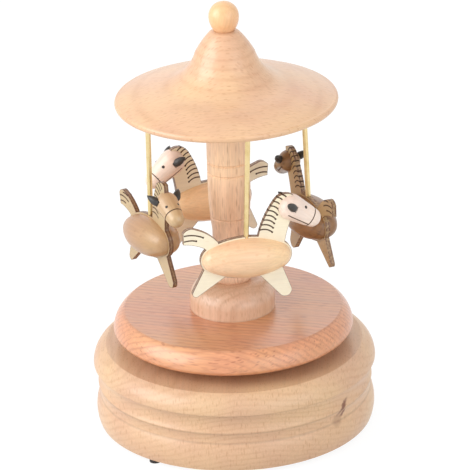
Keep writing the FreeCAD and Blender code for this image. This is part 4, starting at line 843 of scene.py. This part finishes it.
def mane_and_tail(sizes, tail):
    """The strokes of one side of a horse, flat on XZ."""
    shape = bmesh.new()
    for start, _, share in mane_starts(sizes):
        heading, run = between(MANE_HEADING, share), between(MANE_LENGTH, share)
        stroke(shape, start * MM, math.radians(heading), run * MM, math.radians(MANE_BEND),
               sizes.stroke_width)
    for x, z, heading, run, bend in tail:
        stroke(shape, Vector((x, 0, z)) * MM, math.radians(heading), run * MM, math.radians(bend),
               sizes.stroke_width)
    return shape


def mane_nicks(sizes):
    """Short burns across the plate's edge where the mane's strokes start."""
    shape = bmesh.new()
    half = Vector((0, PLATE_THICKNESS / 2 * MM, 0))
    for start, outward, _ in mane_starts(sizes):
        along = Vector((outward.z, 0, -outward.x)) * sizes.stroke_width / 2
        middle = start * MM + outward * sizes.stroke_rise
        corners = (-along - half, along - half, along + half, half - along)
        shape.faces.new([shape.verts.new(middle + corner) for corner in corners])
    return shape


class MUSICBOX_OT_manes(bpy.types.Operator):
    """Burn the mane and tail strokes into both sides of each plate and across its edge"""

    bl_idname = "musicbox.manes"
    bl_label = "Manes and tails"

    def execute(self, context):
        c = context.scene.music_box_colours
        sizes = context.scene.music_box_sizes
        # Burnt wood: dark brown, dull, with a crumbly grain
        material = matt("wood, burnt by a hot point", c.stroke, grit=0.25, roughness=0.7, rise=0.4)
        lift = PLATE_THICKNESS / 2 * MM + sizes.stroke_rise
        for side in SIDES:
            layers = [mane_nicks(sizes)]
            for sense in (-1, 1):
                half = mane_and_tail(sizes, TAIL_STROKES[WOODS[side]])
                bmesh.ops.translate(half, verts=half.verts, vec=(0, sense * lift, 0))
                layers.append(half)
            shape = bmesh.new()
            for layer in layers:
                bmesh.ops.solidify(layer, geom=layer.faces[:], thickness=sizes.stroke_rise / 2)
                bmesh.ops.recalc_face_normals(layer, faces=layer.faces)
                flat = bpy.data.meshes.new("strokes")
                layer.to_mesh(flat)
                layer.free()
                shape.from_mesh(flat)
                bpy.data.meshes.remove(flat)
            bmesh.ops.transform(shape, matrix=horse_frame(side), verts=shape.verts)
            piece(f"{side}_strokes", shape, material)
        return {"FINISHED"}


def strap(side, planes, sizes):
    """A band of a head's skin between planes, raised a little off the wood.

    Each plane is given by its direction and by how far out the strap's middle line lies on that side.
    """
    place = head_frame(side)
    shape = solid_copy(f"{side}_horse_head")
    bmesh.ops.transform(shape, matrix=place.inverted(), verts=shape.verts)
    for normal, distance in planes:
        bmesh.ops.bisect_plane(
            shape, geom=shape.verts[:] + shape.edges[:] + shape.faces[:], plane_no=normal,
            plane_co=normal * (distance + sizes.strap_width / 2), clear_outer=True)
    inner = [face for face in shape.faces
             if face.normal.dot(face.calc_center_median() * Vector((0, 1, 1))) < SLOT_REACH * MM]
    bmesh.ops.delete(shape, geom=inner, context="FACES")
    bmesh.ops.solidify(shape, geom=shape.faces[:], thickness=-sizes.stroke_rise)
    bmesh.ops.transform(shape, matrix=place, verts=shape.verts)
    return shape


def eyes(side, sizes):
    """A low dome on each cheek."""
    shape = bmesh.new()
    outline = [(across * sizes.eye_radius, up * sizes.eye_radius) for across, up in EYE_DOME]
    ahead, aside, above = EYE[SLOTS[WOODS[side]]]
    for sense in (-1, 1):
        spot = Matrix.Translation(Vector((ahead, sense * aside, above)) * MM)
        lie = Vector((0, sense * aside, above)).to_track_quat("Z", "Y").to_matrix().to_4x4()
        lathe(shape, outline, EYE_STEPS, head_frame(side) @ spot @ lie)
    bmesh.ops.remove_doubles(shape, verts=shape.verts, dist=SPUN_WELD * MM)
    bmesh.ops.recalc_face_normals(shape, faces=shape.faces)
    return shape


class MUSICBOX_OT_bridles(bpy.types.Operator):
    """Burn the noseband and cheek strap into each head and dot its eyes"""

    bl_idname = "musicbox.bridles"
    bl_label = "Bridles and eyes"

    def execute(self, context):
        c = context.scene.music_box_colours
        sizes = context.scene.music_box_sizes
        # Burnt lines: thin, dark brown and dull
        material = matt("bridle, burnt by a hot point", c.stroke, grit=0.25, roughness=0.7, rise=0.4)
        # Burnt deeper: small black dots with a faint shine
        eye_black = matt("eye, burnt to black", c.eye, grit=0.2, roughness=0.45, rise=0.2)
        ahead, above = Vector((1, 0, 0)), Vector((0, 0, 1))
        for side in SIDES:
            tone = SLOTS[WOODS[side]]
            nose, low = NOSEBAND[tone] * MM, STRAP_LOW[tone] * MM
            straps = {
                "noseband": ((ahead, nose), (-ahead, -nose)),
                "cheek_strap": ((above, -low), (-above, low), (ahead, nose), (-ahead, STRAP_BACK * MM)),
            }
            for name, planes in straps.items():
                piece(f"{side}_{name}", strap(side, planes, sizes), material)
            piece(f"{side}_eyes", eyes(side, sizes), eye_black)
        return {"FINISHED"}


class MUSICBOX_OT_ears(bpy.types.Operator):
    """Shape the black pointed ears"""

    bl_idname = "musicbox.ears"
    bl_label = "Ears"

    def execute(self, context):
        c = context.scene.music_box_colours
        sizes = context.scene.music_box_sizes
        # Wood stained black and rubbed: dark grey with a soft shine
        material = matt("black stained wood, rubbed", c.ear, grit=0.4, roughness=0.4, rise=0.15)
        outline = [(across * sizes.ear_radius, up * sizes.ear_length) for across, up in EAR_LEAF]
        for side in SIDES:
            shape = bmesh.new()
            for sense in (-1, 1):
                outward = Matrix.Rotation(math.radians(-sense * (90 - EAR_LIFT)), 4, "X")
                backward = Matrix.Rotation(math.radians(sense * EAR_SWEEP), 4, "Z")
                root = Vector((EAR_ROOT_X, sense * EAR_ROOT_Y[SLOTS[WOODS[side]]], EAR_ROOT_Z)) * MM
                place = head_frame(side) @ Matrix.Translation(root) @ backward @ outward
                lathe(shape, outline, EAR_STEPS, place)
            bmesh.ops.remove_doubles(shape, verts=shape.verts, dist=SPUN_WELD * MM)
            bmesh.ops.holes_fill(shape, edges=shape.edges)
            bmesh.ops.recalc_face_normals(shape, faces=shape.faces)
            for face in shape.faces:
                face.smooth = True
            made = piece(f"{side}_ears", shape, material)
            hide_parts(f"{side}_horse_ears")
        return {"FINISHED"}


OPERATORS = (
    MUSICBOX_OT_stage, MUSICBOX_OT_turned_wood, MUSICBOX_OT_underside, MUSICBOX_OT_metals,
    MUSICBOX_OT_horse_bodies, MUSICBOX_OT_horse_plates, MUSICBOX_OT_manes, MUSICBOX_OT_bridles,
    MUSICBOX_OT_ears,
)


class MUSICBOX_PT_panel(bpy.types.Panel):
    """Lists the steps of the music box"""

    bl_idname = "MUSICBOX_PT_panel"
    bl_label = "Music box"
    bl_space_type = "VIEW_3D"
    bl_region_type = "UI"
    bl_category = "Music box"

    def draw(self, context):
        for operator in OPERATORS:
            self.layout.operator(operator.bl_idname)


CLASSES = (MusicBoxColours, MusicBoxSizes, *OPERATORS, MUSICBOX_PT_panel)


def register():
    """Register the classes and the scene's settings."""
    for kind in CLASSES:
        bpy.utils.register_class(kind)
    bpy.types.Scene.music_box_colours = PointerProperty(type=MusicBoxColours)
    bpy.types.Scene.music_box_sizes = PointerProperty(type=MusicBoxSizes)


def unregister():
    """Take the settings and the classes away again."""
    del bpy.types.Scene.music_box_sizes
    del bpy.types.Scene.music_box_colours
    for kind in reversed(CLASSES):
        bpy.utils.unregister_class(kind)


def main():
    """Dress the music box."""
    register()
    bpy.ops.musicbox.stage()
    bpy.ops.musicbox.turned_wood()
    bpy.ops.musicbox.underside()
    bpy.ops.musicbox.metals()
    bpy.ops.musicbox.horse_bodies()
    bpy.ops.musicbox.horse_plates()
    bpy.ops.musicbox.manes()
    bpy.ops.musicbox.bridles()
    bpy.ops.musicbox.ears()


if __name__ == "__main__":
    main()
